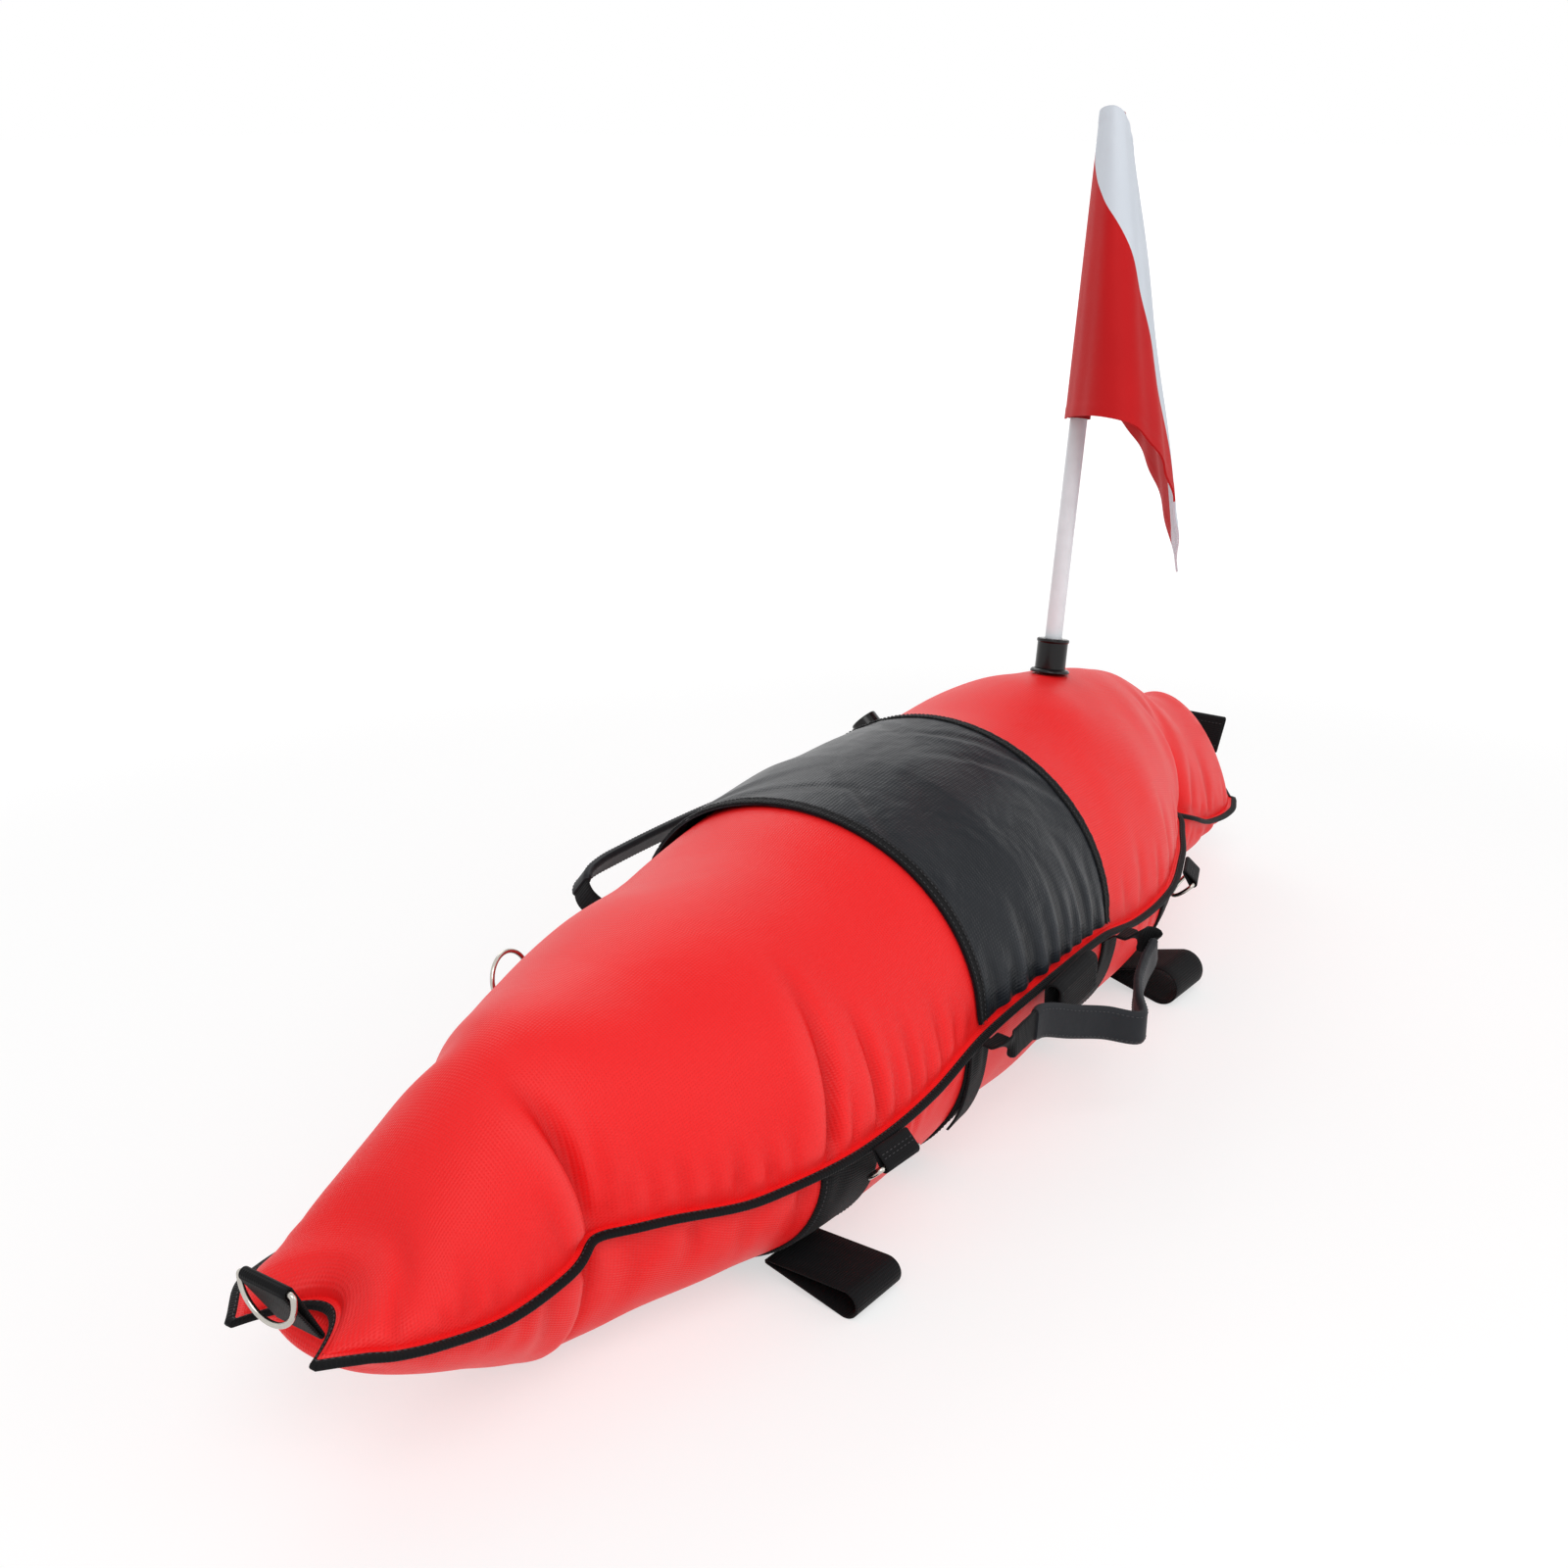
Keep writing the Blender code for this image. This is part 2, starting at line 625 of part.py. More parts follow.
def level_turn(frame):
    """The turn of a frame with its X kept and its Z made upright."""
    along = frame.to_3x3().col[0].normalized()
    up = Vector((0, 0, 1))
    outward = up.cross(along).normalized()
    return Matrix((along, outward, along.cross(outward))).transposed().to_4x4()


def handle_frame(side):
    """Frame midway between a handle's two roots, its X along the line that the handle turns about."""
    stand = binding_face() + 2 * GAP + ROOT_NOSE_SHARES[0] * HANDLE_WEB_FABRIC / 2
    roots = []
    for x in (GIRDLE_CENTRE - side * HANDLE_SPACING, GIRDLE_CENTRE + side * HANDLE_SPACING):
        roots.append(Vector((x, side * (half_width(x) + stand), seam_height(x))))
    along = (roots[1] - roots[0]).normalized()
    outward = Vector((0, 0, 1)).cross(along).normalized()
    turn = Matrix((along, outward, along.cross(outward))).transposed().to_4x4()
    return Matrix.Translation((roots[0] + roots[1]) / 2) @ turn


def handle_line(shares):
    """Centre line of a handle from its pivot, as x along, y outward and z up, and smoothed."""
    span = 2 * HANDLE_SPACING
    marks = [Vector((a * span, b * HANDLE_REACH, -c * HANDLE_DROP)) for a, b, c in shares]
    marks = [2 * marks[0] - marks[1]] + marks + [2 * marks[-1] - marks[-2]]
    line = []
    steps = CORNER_SEGMENTS
    for i in range(1, len(marks) - 2):
        p0, p1, p2, p3 = marks[i - 1:i + 3]
        for k in range(steps):
            s = k / steps
            line.append(0.5 * (2 * p1 + (p2 - p0) * s + (2 * p0 - 5 * p1 + 4 * p2 - p3) * s * s
                               + (3 * p1 - p0 - 3 * p2 + p3) * s ** 3))
    return line + [marks[-2]]


def handle_sections(line):
    """Tangent-based width and thickness directions, flat at the roots and upright between."""
    sections = []
    last = len(line) - 1
    for k, point in enumerate(line):
        tangent = (line[min(k + 1, last)] - line[max(k - 1, 0)]).normalized()
        if k in (0, last):
            tangent = Vector((0, 1 if k == 0 else -1, 0))
        share = k / last
        start, end = HANDLE_TWIST_SHARES
        upright = smooth_step((min(share, 1 - share) - start) / (end - start))
        level = tangent.cross(Vector((0, 0, 1))).normalized()
        rising = level.cross(tangent).normalized()
        turn = math.pi / 2 * (upright if share < 0.5 else 2 - upright)
        wide = (math.cos(turn) * level + math.sin(turn) * rising).normalized()
        sections.append((point, wide, tangent.cross(wide).normalized()))
    return sections


def loft(name, loops, finish_name, place, ring=0):
    """Closed body through equal loops of points; a ring of loops has a hole along it."""
    size = len(loops[0])
    points = [p for loop in loops for p in loop]
    faces = []
    for k in range(len(loops) - 1):
        for s in range(size):
            if ring and s in (ring - 1, size - 1):
                other = s - ring + 1
            else:
                other = s + 1
            other %= size
            a, b = k * size + s, k * size + other
            faces.append((a, b, b + size, a + size))
    last = (len(loops) - 1) * size
    if ring:
        for s in range(ring):
            n = (s + 1) % ring
            faces.append((s, s + ring, n + ring, n))
            faces.append((last + s, last + n, last + n + ring, last + s + ring))
    else:
        faces.append(tuple(range(size)))
        faces.append(tuple(last + s for s in range(size)))
    return solid(name, points, faces, finish_name, place)


def rectangle(point, wide, thick, width, thickness):
    corners = ((-1, -1), (1, -1), (1, 1), (-1, 1))
    return [point + wide * (a * width / 2) + thick * (b * thickness / 2) for a, b in corners]


def handle(prefix, side, lift):
    """Webbing handle with a soft grip sleeve round its middle, turning about its two roots."""
    sections = handle_sections(handle_line(HANDLE_SHARES if side < 0 else FAR_HANDLE_SHARES))
    place = handle_frame(side) @ Matrix.Rotation(lift, 4, "X")
    webbing = [rectangle(p, w, t, HANDLE_WEB_HEIGHT, HANDLE_WEB_FABRIC) for p, w, t in sections]
    nose = ROOT_NOSE_SHARES[0] * HANDLE_WEB_FABRIC / 2
    thin = ROOT_NOSE_SHARES[1] * HANDLE_WEB_FABRIC
    for end in (0, -1):
        point, wide, thick = sections[end]
        tip = rectangle(point - Vector((0, nose, 0)), wide, thick, HANDLE_WEB_HEIGHT, thin)
        webbing.insert(0 if end == 0 else len(webbing), tip)
    loft(prefix + "_handle_webbing", webbing, "black webbing", place)
    last = len(sections) - 1
    held = [s for k, s in enumerate(sections) if GRIP_START_SHARE <= k / last <= GRIP_END_SHARE]
    loose = 2 * GAP
    inner = [rectangle(p, w, t, HANDLE_WEB_HEIGHT + loose, HANDLE_WEB_FABRIC + loose) for p, w, t in held]
    grown = 2 * GAP + 2 * GRIP_WALL
    outer = [rectangle(p, w, t, HANDLE_WEB_HEIGHT + grown, HANDLE_WEB_FABRIC + grown) for p, w, t in held]
    rings = [a + b for a, b in zip(outer, inner)]
    loft(prefix + "_handle_grip", rings, "grip foam", place, ring=4)


def side_sleeve(name, side):
    """Flat webbing tube sewn along the seam between the handle's roots."""
    x = GIRDLE_CENTRE
    place = seam_frame(x, side) @ Matrix.Translation((0, GAP, -SLEEVE_SINK))
    radius = SLEEVE_DEPTH / 2
    rise = SLEEVE_HEIGHT - 2 * radius
    outer = [(radius + b, a - rise / 2) for a, b in belt_outline(radius, radius, rise, ARC_SEGMENTS // 2)]
    bore = radius - SLEEVE_WALL
    inner = [(radius + b, a - rise / 2) for a, b in belt_outline(bore, bore, rise, ARC_SEGMENTS // 2)]
    band(name, outer, inner, SLEEVE_LENGTH, "black webbing", place)


def belly_loop(name, x, reach, fold):
    """Webbing loop hinged under the girth strap by its pinched root, its fold lying on the floor."""
    fold_height = fold + LOOP_FABRIC
    stand = GAP + STRAP_FABRIC + 2 * GAP + LOOP_PINCH + LOOP_FABRIC
    heights = []
    for half in (-LOOP_WIDTH / 2, LOOP_WIDTH / 2):
        corner = LOOP_ROOT_SHARE * BAG_HALF_WIDTH + half * math.sin(LOOP_YAW)
        share = math.acos(corner / half_width(x + half)) / math.pi
        heights.append(lower_skin(x + half, share, stand).z)
    root_height = min(heights)
    dip = math.asin((fold_height - root_height) / reach)
    outer = belt_outline(LOOP_PINCH + LOOP_FABRIC, fold + LOOP_FABRIC, reach, ARC_SEGMENTS)
    inner = belt_outline(LOOP_PINCH, fold, reach, ARC_SEGMENTS)
    outward = Vector((-math.sin(LOOP_YAW), -math.cos(LOOP_YAW), 0))
    place = frame_at(Vector((x, -LOOP_ROOT_SHARE * BAG_HALF_WIDTH, root_height)), outward)
    band(name, outer, inner, LOOP_WIDTH, "black webbing", place @ Matrix.Rotation(dip, 4, "X"))


def turned(name, profile, finish_name, place, closed=False):
    """Body turned about local Z from (radius, height) points; a closed profile makes a ring."""
    points, faces, starts = [], [], []
    for radius, height in profile:
        starts.append(len(points))
        if radius == 0:
            points.append(Vector((0, 0, height)))
            continue
        for k in range(ROUND_SEGMENTS):
            a = 2 * math.pi * k / ROUND_SEGMENTS
            points.append(Vector((radius * math.cos(a), radius * math.sin(a), height)))
    count = len(profile)
    for n in range(count if closed else count - 1):
        m = (n + 1) % count
        for k in range(ROUND_SEGMENTS):
            j = (k + 1) % ROUND_SEGMENTS
            low = [starts[n]] if profile[n][0] == 0 else [starts[n] + k, starts[n] + j]
            high = [starts[m]] if profile[m][0] == 0 else [starts[m] + j, starts[m] + k]
            faces.append(tuple(low + high))
    return solid(name, points, faces, finish_name, place)


def mast_frame():
    """Frame on the bag's top with Z up the mast."""
    seat = upper_skin(MAST_PLACE, 0.5, 0.0)
    axis = Vector((math.sin(MAST_LEAN), math.sin(MAST_SIDE_LEAN), 1)).normalized()
    across = Vector((0, 1, 0)).cross(axis).normalized()
    turn = Matrix((across, axis.cross(across), axis)).transposed().to_4x4()
    return Matrix.Translation(seat) @ turn


def mast_socket(frame):
    bore = POLE_RADIUS + POLE_CLEARANCE
    base = SOCKET_SEAT
    top = base + SOCKET_HEIGHT
    lip = SOCKET_LIP
    flange = [(SOCKET_RADIUS + GAP, base), (FLANGE_RADIUS, base),
              (FLANGE_RADIUS, base + FLANGE_THICKNESS / 2),
              (FLANGE_RADIUS - FLANGE_THICKNESS / 2, base + FLANGE_THICKNESS),
              (SOCKET_RADIUS + GAP, base + FLANGE_THICKNESS)]
    turned("socket_flange", flange, "gloss black", frame, closed=True)
    tube = [(0, base), (SOCKET_RADIUS, base), (SOCKET_RADIUS, top - 4 * lip),
            (SOCKET_RADIUS + lip, top - 3 * lip),
            (SOCKET_RADIUS + lip, top - lip), (SOCKET_RADIUS, top),
            (bore, top), (bore, base + SOCKET_FLOOR),
            (0, base + SOCKET_FLOOR)]
    turned("socket_tube", tube, "gloss black", frame)


def pole_bottom():
    return SOCKET_SEAT + SOCKET_FLOOR + GAP


def flag_pole(frame):
    """Plastic tube with a plug in each end."""
    bottom = pole_bottom() + PLUG_HEAD
    top = pole_bottom() + POLE_LENGTH - PLUG_HEAD
    bore = POLE_RADIUS - POLE_WALL
    tube = [(bore, bottom + GAP), (POLE_RADIUS, bottom + GAP), (POLE_RADIUS, top - GAP), (bore, top - GAP)]
    turned("flag_pole", tube, "pole tube", frame, closed=True)
    spigot = bore - GAP
    foot = [(0, pole_bottom()), (POLE_RADIUS, pole_bottom()), (POLE_RADIUS, bottom), (spigot, bottom),
            (spigot, bottom + PLUG_SPIGOT), (0, bottom + PLUG_SPIGOT)]
    turned("pole_foot", foot, "gloss black", frame)
    head = [(0, top - PLUG_SPIGOT), (spigot, top - PLUG_SPIGOT), (spigot, top), (POLE_RADIUS, top),
            (POLE_RADIUS, top + PLUG_HEAD / 2), (POLE_RADIUS - PLUG_HEAD / 2, top + PLUG_HEAD),
            (0, top + PLUG_HEAD)]
    turned("pole_cap", head, "gloss black", frame)


def hoist_sleeve(frame):
    """Sewn sleeve on the flag's hoist, closed at the top, so that it hangs on the pole's cap."""
    top = pole_bottom() + POLE_LENGTH + GAP + HOIST_SLEEVE_WALL
    low = top - FLAG_HOIST_LENGTH
    bore = HOIST_SLEEVE_RADIUS - HOIST_SLEEVE_WALL
    profile = [(0, top - HOIST_SLEEVE_WALL), (bore, top - HOIST_SLEEVE_WALL), (bore, low),
               (HOIST_SLEEVE_RADIUS, low), (HOIST_SLEEVE_RADIUS, top - HOIST_SLEEVE_WALL),
               (HOIST_SLEEVE_RADIUS - HOIST_SLEEVE_WALL, top), (0, top)]
    turned("flag_hoist_sleeve", profile, "flag cloth", frame)


def roll_direction(turn, down, right, fore):
    """Direction of one straight line of the rolled flag, from its apex."""
    across = math.tan(FLAG_ROLL_HALF_WIDTH) * (1 - math.cos(turn))
    depth = FLAG_ROLL_HALF_DEPTH if turn < math.pi else FLAG_ROLL_BACK_DEPTH
    towards = math.tan(depth) * math.sin(turn)
    return (down + across * right + towards * fore).normalized()


def flag(frame):
    """Rectangular cloth rolled into a slanting cone, without stretching it."""
    axis = frame.to_3x3().col[2].normalized()
    bearing = Vector((math.cos(FLAG_BEARING), math.sin(FLAG_BEARING), 0))
    right = (bearing - bearing.dot(axis) * axis).normalized()
    fore = right.cross(axis)
    top = frame @ Vector((0, 0, pole_bottom() + POLE_LENGTH))
    hoist_top = top - right * (HOIST_SLEEVE_RADIUS + GAP + FLAG_CLOTH)
    apex = hoist_top + axis * FLAG_HOIST_LENGTH * FLAG_APEX_SHARE
    steps = 40 * ARC_SEGMENTS
    turns = [2 * math.pi * k / steps for k in range(steps + 1)]
    lines = [roll_direction(a, -axis, right, fore) for a in turns]
    passed = [0.0]
    for before, after in zip(lines, lines[1:]):
        passed.append(passed[-1] + before.angle(after))

    def on_roll(angle):
        k = max(n for n, p in enumerate(passed) if p <= angle)
        k = min(k, steps - 1)
        share = (angle - passed[k]) / (passed[k + 1] - passed[k])
        return lines[k].lerp(lines[k + 1], share).normalized(), lines[k + 1] - lines[k]

    columns = 3 * ARC_SEGMENTS
    rows = ARC_SEGMENTS
    front, back = [], []
    for r in range(rows + 1):
        front_row, back_row = [], []
        for s in range(columns + 1):
            along = FLAG_FLY_LENGTH * s / columns
            down = FLAG_HOIST_LENGTH * (FLAG_APEX_SHARE + r / rows)
            direction, forward = on_roll(math.atan2(along, down))
            normal = direction.cross(forward).normalized()
            point = apex + direction * math.hypot(along, down)
            front_row.append(point + normal * FLAG_CLOTH / 2)
            back_row.append(point - normal * FLAG_CLOTH / 2)
        front.append(front_row)
        back.append(back_row)
    return solid("flag_cloth", *layered_grid(front, back), "flag cloth")


def valve_frame():
    """Frame on the far slope of the top with Z square to the skin."""
    seat = upper_skin(VALVE_PLACE, VALVE_SHARE, 0.0)
    step = GAP
    nudge = step / BAG_HALF_WIDTH
    behind, beyond = [upper_skin(VALVE_PLACE + s, VALVE_SHARE, 0.0) for s in (-step, step)]
    before, after = [upper_skin(VALVE_PLACE, VALVE_SHARE + s, 0.0) for s in (-nudge, nudge)]
    along = beyond - behind
    across = after - before
    outward = along.cross(across).normalized()
    if outward.z < 0:
        outward = -outward
    along = along.normalized()
    turn = Matrix((along, outward.cross(along), outward)).transposed().to_4x4()
    return Matrix.Translation(seat) @ turn


def inflation_valve():
    """Blow-in valve: flange on the skin, a stem, and a cap pushed over it."""
    frame = valve_frame()
    base = VALVE_SEAT
    deck = base + VALVE_FLANGE_THICKNESS
    flange = [(VALVE_STEM_RADIUS + GAP, base), (VALVE_FLANGE_RADIUS, base),
              (VALVE_FLANGE_RADIUS, base + VALVE_FLANGE_THICKNESS / 2),
              (VALVE_FLANGE_RADIUS - VALVE_FLANGE_THICKNESS, deck), (VALVE_STEM_RADIUS + GAP, deck)]
    turned("valve_flange", flange, "gloss black", frame, closed=True)
    top = base + VALVE_STEM_HEIGHT
    stem = [(VALVE_BORE, base), (VALVE_STEM_RADIUS, base), (VALVE_STEM_RADIUS, top), (VALVE_BORE, top)]
    turned("valve_stem", stem, "gloss black", frame, closed=True)
    bore = VALVE_STEM_RADIUS + GAP
    skirt = bore + VALVE_CAP_WALL
    low = deck + GAP
    crest = top + GAP + VALVE_CAP_WALL
    cap = [(0, top + GAP), (bore, top + GAP), (bore, low), (skirt + VALVE_CAP_LIP, low),
           (skirt + VALVE_CAP_LIP, low + VALVE_CAP_WALL), (skirt, low + VALVE_CAP_WALL),
           (skirt, crest - VALVE_CAP_WALL / 2), (skirt - VALVE_CAP_WALL / 2, crest), (0, crest)]
    turned("valve_cap", cap, "gloss black", frame)


def wear_panel(rows):
    """Black panel over the top, standing a little off the bag at its bow edge on the far side."""
    half = WEAR_PANEL_LENGTH / 2
    held = [x for x in rows if abs(x - GIRDLE_CENTRE) <= half + GAP]
    shares = across_shares()[1:-1]

    def stand(x, t):
        towards_bow = smooth_step((GIRDLE_CENTRE + half - x) / (2 * half))
        bulge = math.exp(-((t - VALVE_SHARE) / WEAR_PANEL_BULGE_SHARE) ** 2)
        return GAP + WEAR_PANEL_STAND * towards_bow * bulge

    def face(x, t):
        return stand(x, t) + WEAR_PANEL_FABRIC

    sheet("wear_panel", upper_skin, held, shares, stand, face, "black panel")
    for name, edge in (("wear_panel_front_hem", held[:2]), ("wear_panel_rear_hem", held[-2:])):
        sheet(name, upper_skin, edge, shares, lambda x, t: face(x, t) + GAP,
              lambda x, t: face(x, t) + GAP + HEM_FABRIC, "black webbing")


def belly_strap(name, rows, centre, width):
    """Webbing under the belly from one seam to the other."""
    held = [x for x in rows if abs(x - centre) <= width / 2 + GAP]
    sheet(name, lower_skin, held, across_shares()[1:-1], lambda x, t: GAP, lambda x, t: GAP + STRAP_FABRIC,
          "black webbing")


def strap_tail(rows):
    """Loose end of the front handle strap, hanging beside the near side of the belly."""
    centre = GIRDLE_CENTRE - HANDLE_SPACING
    held = [x for x in rows if abs(x - centre) <= HANDLE_STRAP_WIDTH / 2 + GAP]
    shares = across_shares()[1:4]

    def stand(x, t):
        return 2 * GAP + STRAP_FABRIC + TAIL_STAND * smooth_step(t / shares[-1])

    def face(x, t):
        return stand(x, t) + TAIL_FABRIC

    sheet("strap_tail", lower_skin, held, shares, stand, face, "black webbing")


def build():
    rows = bag_rows()
    bag_panel("top_panel", upper_skin, rows, across_shares())
    bag_panel("bottom_panel", lower_skin, rows, across_shares())
    seam_binding(rows, across_shares())
    bladder(rows)
    wear_panel(rows)
    for name, side in (("front", -1), ("rear", 1)):
        strap_place = GIRDLE_CENTRE + side * STRAP_SPACING
        belly_strap(name + "_girth_strap", rows, strap_place, STRAP_WIDTH)
        belly_strap(name + "_handle_strap", rows, GIRDLE_CENTRE + side * HANDLE_SPACING, HANDLE_STRAP_WIDTH)
        reach, fold = (FRONT_LOOP_REACH, FRONT_LOOP_FOLD) if side < 0 else (REAR_LOOP_REACH, REAR_LOOP_FOLD)
        belly_loop(name + "_belly_loop", strap_place, reach, fold)
        tab_place = strap_place + (FRONT_TAB_BEYOND_STRAP if side < 0 else REAR_TAB_BEYOND_STRAP)
        for flank, across in (("near", -1), ("far", 1)):
            raised = across > 0 and side < 0
            reach = RAISED_TAB_REACH if raised else SIDE_TAB_REACH
            rise = RAISED_TAB_RISE if raised else SIDE_TAB_DROOP
            tab = ring_tab(f"{name}_{flank}_tab", seam_frame(tab_place, across), reach, rise)
            swing = NEAR_RING_TUCK if across < 0 else FAR_RING_RAISE if raised else 0.0
            d_ring(f"{name}_{flank}_ring", tab, swing)
    strap_tail(rows)
    for prefix, side, lift in (("near", -1, 0), ("far", 1, FAR_HANDLE_RAISE)):
        handle(prefix, side, lift)
        side_sleeve(prefix + "_side_sleeve", side)
    bow = ring_tab("bow_tab", end_frame(-1, BOW_TAB_SEWN_WIDTH), BOW_TAB_REACH, BOW_TAB_RISE)
    d_ring("bow_ring", bow, 0.0)
    stern = end_frame(1, STERN_TAB_SEWN_WIDTH, STERN_TAB_SHIFT)
    ring_tab("stern_tab", stern, STERN_TAB_REACH, STERN_TAB_RISE, STERN_TAB_WIDTH)
    mast = mast_frame()
    mast_socket(mast)
    flag_pole(mast)
    hoist_sleeve(mast)
    flag(mast)
    inflation_valve()


FINISHES = {
    "red fabric": ((0.80, 0.035, 0.030), 0.55, 0.0),
    "black webbing": ((0.012, 0.012, 0.014), 0.75, 0.0),
    "black panel": ((0.016, 0.020, 0.026), 0.45, 0.0),
    "grip foam": ((0.040, 0.042, 0.048), 0.65, 0.0),
    "bladder film": ((0.35, 0.36, 0.38), 0.40, 0.0),
    "gloss black": ((0.010, 0.010, 0.011), 0.22, 0.0),
    "pole tube": ((0.78, 0.77, 0.80), 0.25, 0.0),
    "flag cloth": ((0.52, 0.025, 0.022), 0.50, 0.0),
    "steel": ((0.62, 0.60, 0.56), 0.22, 1.0),
}

build()
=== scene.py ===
import math

import bmesh
import bpy
import numpy as np
from mathutils import Matrix, Vector


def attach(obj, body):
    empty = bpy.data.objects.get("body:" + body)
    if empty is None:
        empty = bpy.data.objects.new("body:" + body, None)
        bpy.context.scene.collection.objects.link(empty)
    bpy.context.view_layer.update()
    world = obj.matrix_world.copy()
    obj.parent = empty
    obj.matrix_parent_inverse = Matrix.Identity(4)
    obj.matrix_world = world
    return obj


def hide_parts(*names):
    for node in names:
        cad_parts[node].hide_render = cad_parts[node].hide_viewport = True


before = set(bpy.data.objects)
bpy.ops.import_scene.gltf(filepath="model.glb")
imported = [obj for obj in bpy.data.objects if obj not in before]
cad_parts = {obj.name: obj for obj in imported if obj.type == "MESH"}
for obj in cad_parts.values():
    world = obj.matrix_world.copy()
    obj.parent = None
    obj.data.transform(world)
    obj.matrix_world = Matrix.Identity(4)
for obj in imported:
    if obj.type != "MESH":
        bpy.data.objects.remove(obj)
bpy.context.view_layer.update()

millimetre = 0.001
gap = 0.3 * millimetre
print("frame loaded:", len(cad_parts), "nodes")


def axesMatrix(x, y, z, origin=(0, 0, 0)):
    place = Matrix((x, y, z)).transposed().to_4x4()
    place.translation = origin
    return place


# Camera at the photograph's angle, in its 1600 by 1600 frame
cameraSet = {"turn": 0.591, "fall": 0.355, "target": (-0.106, 0.0, 0.255), "distance": 1.159,
             "focalPixels": 1878.5, "framePixels": 1600, "sensor": 36.0, "nearest": 0.01}


def addCamera():
    turn, fall = cameraSet["turn"], cameraSet["fall"]
    forward = Vector((math.cos(turn) * math.cos(fall), math.sin(turn) * math.cos(fall), -math.sin(fall)))
    right = Vector((math.sin(turn), -math.cos(turn), 0))
    lens = bpy.data.cameras.new("photoCamera")
    lens.sensor_width = cameraSet["sensor"]
    lens.lens = cameraSet["focalPixels"] / cameraSet["framePixels"] * cameraSet["sensor"]
    lens.clip_start = cameraSet["nearest"]
    camera = bpy.data.objects.new("photoCamera", lens)
    camera.matrix_world = axesMatrix(right, right.cross(forward), -forward,
                                     Vector(cameraSet["target"]) - forward * cameraSet["distance"])
    bpy.context.collection.objects.link(camera)
    bpy.context.scene.camera = camera


# Node helpers for the materials
def newMaterial(name):
    made = bpy.data.materials.new(name)
    made.use_nodes = True
    return made, made.node_tree, made.node_tree.nodes["Principled BSDF"]


def addNode(tree, kind, **values):
    node = tree.nodes.new(kind)
    for key, value in values.items():
        setattr(node, key, value)
    return node


def feed(tree, socket, value):
    # a socket takes another node's output or a plain value
    if isinstance(value, bpy.types.NodeSocket):
        tree.links.new(value, socket)
    else:
        socket.default_value = value


def fill(tree, node, **values):
    for key, value in values.items():
        feed(tree, node.inputs[key.replace("_", " ")], value)
    return node


def mathNode(tree, operation, *values):
    node = addNode(tree, "ShaderNodeMath", operation=operation)
    for socket, value in zip(node.inputs, values):
        feed(tree, socket, value)
    return node.outputs[0]


def mixColour(tree, factor, first, second):
    node = addNode(tree, "ShaderNodeMix", data_type="RGBA")
    for key, value in (("Factor_Float", factor), ("A_Color", first), ("B_Color", second)):
        socket = next(s for s in node.inputs if s.identifier == key)
        feed(tree, socket, (*value, 1) if isinstance(value, tuple) else value)
    return next(s for s in node.outputs if s.identifier == "Result_Color")


def addBumps(tree, shader, *layers):
    # bumps on top of each other: height, strength and depth, the finest first
    for height, strength, depth in layers:
        bump = fill(tree, addNode(tree, "ShaderNodeBump"), Height=height, Strength=strength, Distance=depth)
        if shader.inputs["Normal"].is_linked:
            fill(tree, bump, Normal=shader.inputs["Normal"].links[0].from_socket)
        fill(tree, shader, Normal=bump.outputs[0])


def newGroup(name, inputs, outputs):
    # an input without a value is a vector, and all others are floats
    tree = bpy.data.node_groups.new(name, "ShaderNodeTree")
    for label, value in inputs.items():
        kind = "NodeSocketVector" if value is None else "NodeSocketFloat"
        socket = tree.interface.new_socket(label, in_out="INPUT", socket_type=kind)
        if value is not None:
            socket.default_value = value
    for label in outputs:
        tree.interface.new_socket(label, in_out="OUTPUT", socket_type="NodeSocketFloat")
    return tree, addNode(tree, "NodeGroupInput").outputs, addNode(tree, "NodeGroupOutput")


weaveSet = {"threads": 900.0, "rib": 0.5, "speckle": 700.0}
crinkleSet = {"large": 18.0, "largeDetail": 2.0, "small": 90.0, "smallDetail": 3.0, "smallShare": 0.18,
              "distortion": 0.6}


def weaveGroup():
    # crossing threads; one way may stand out more, as on ribbed webbing
    rates = ("Across per metre", "Along per metre")
    tree, given, end = newGroup("threadWeave", {"Place": None, rates[0]: weaveSet["threads"],
                                                rates[1]: weaveSet["threads"], "Rib": weaveSet["rib"]},
                                ("Height", "Shade"))
    apart = fill(tree, addNode(tree, "ShaderNodeSeparateXYZ"), Vector=given["Place"])
    waves = []
    for axis, rate in enumerate(rates):
        passed = mathNode(tree, "MULTIPLY", apart.outputs[axis], given[rate])
        wave = mathNode(tree, "SINE", mathNode(tree, "MULTIPLY", passed, 2 * math.pi))
        waves.append(mathNode(tree, "MULTIPLY_ADD", wave, 0.5, 0.5))
    mixed = fill(tree, addNode(tree, "ShaderNodeMix"), Factor=given["Rib"], B=waves[1],
                 A=mathNode(tree, "MULTIPLY", *waves))
    speckle = fill(tree, addNode(tree, "ShaderNodeTexNoise"), Scale=weaveSet["speckle"], Vector=given["Place"])
    height = mixed.outputs["Result"]
    fill(tree, end, Height=height, Shade=mathNode(tree, "MULTIPLY", height, speckle.outputs["Fac"]))
    return tree


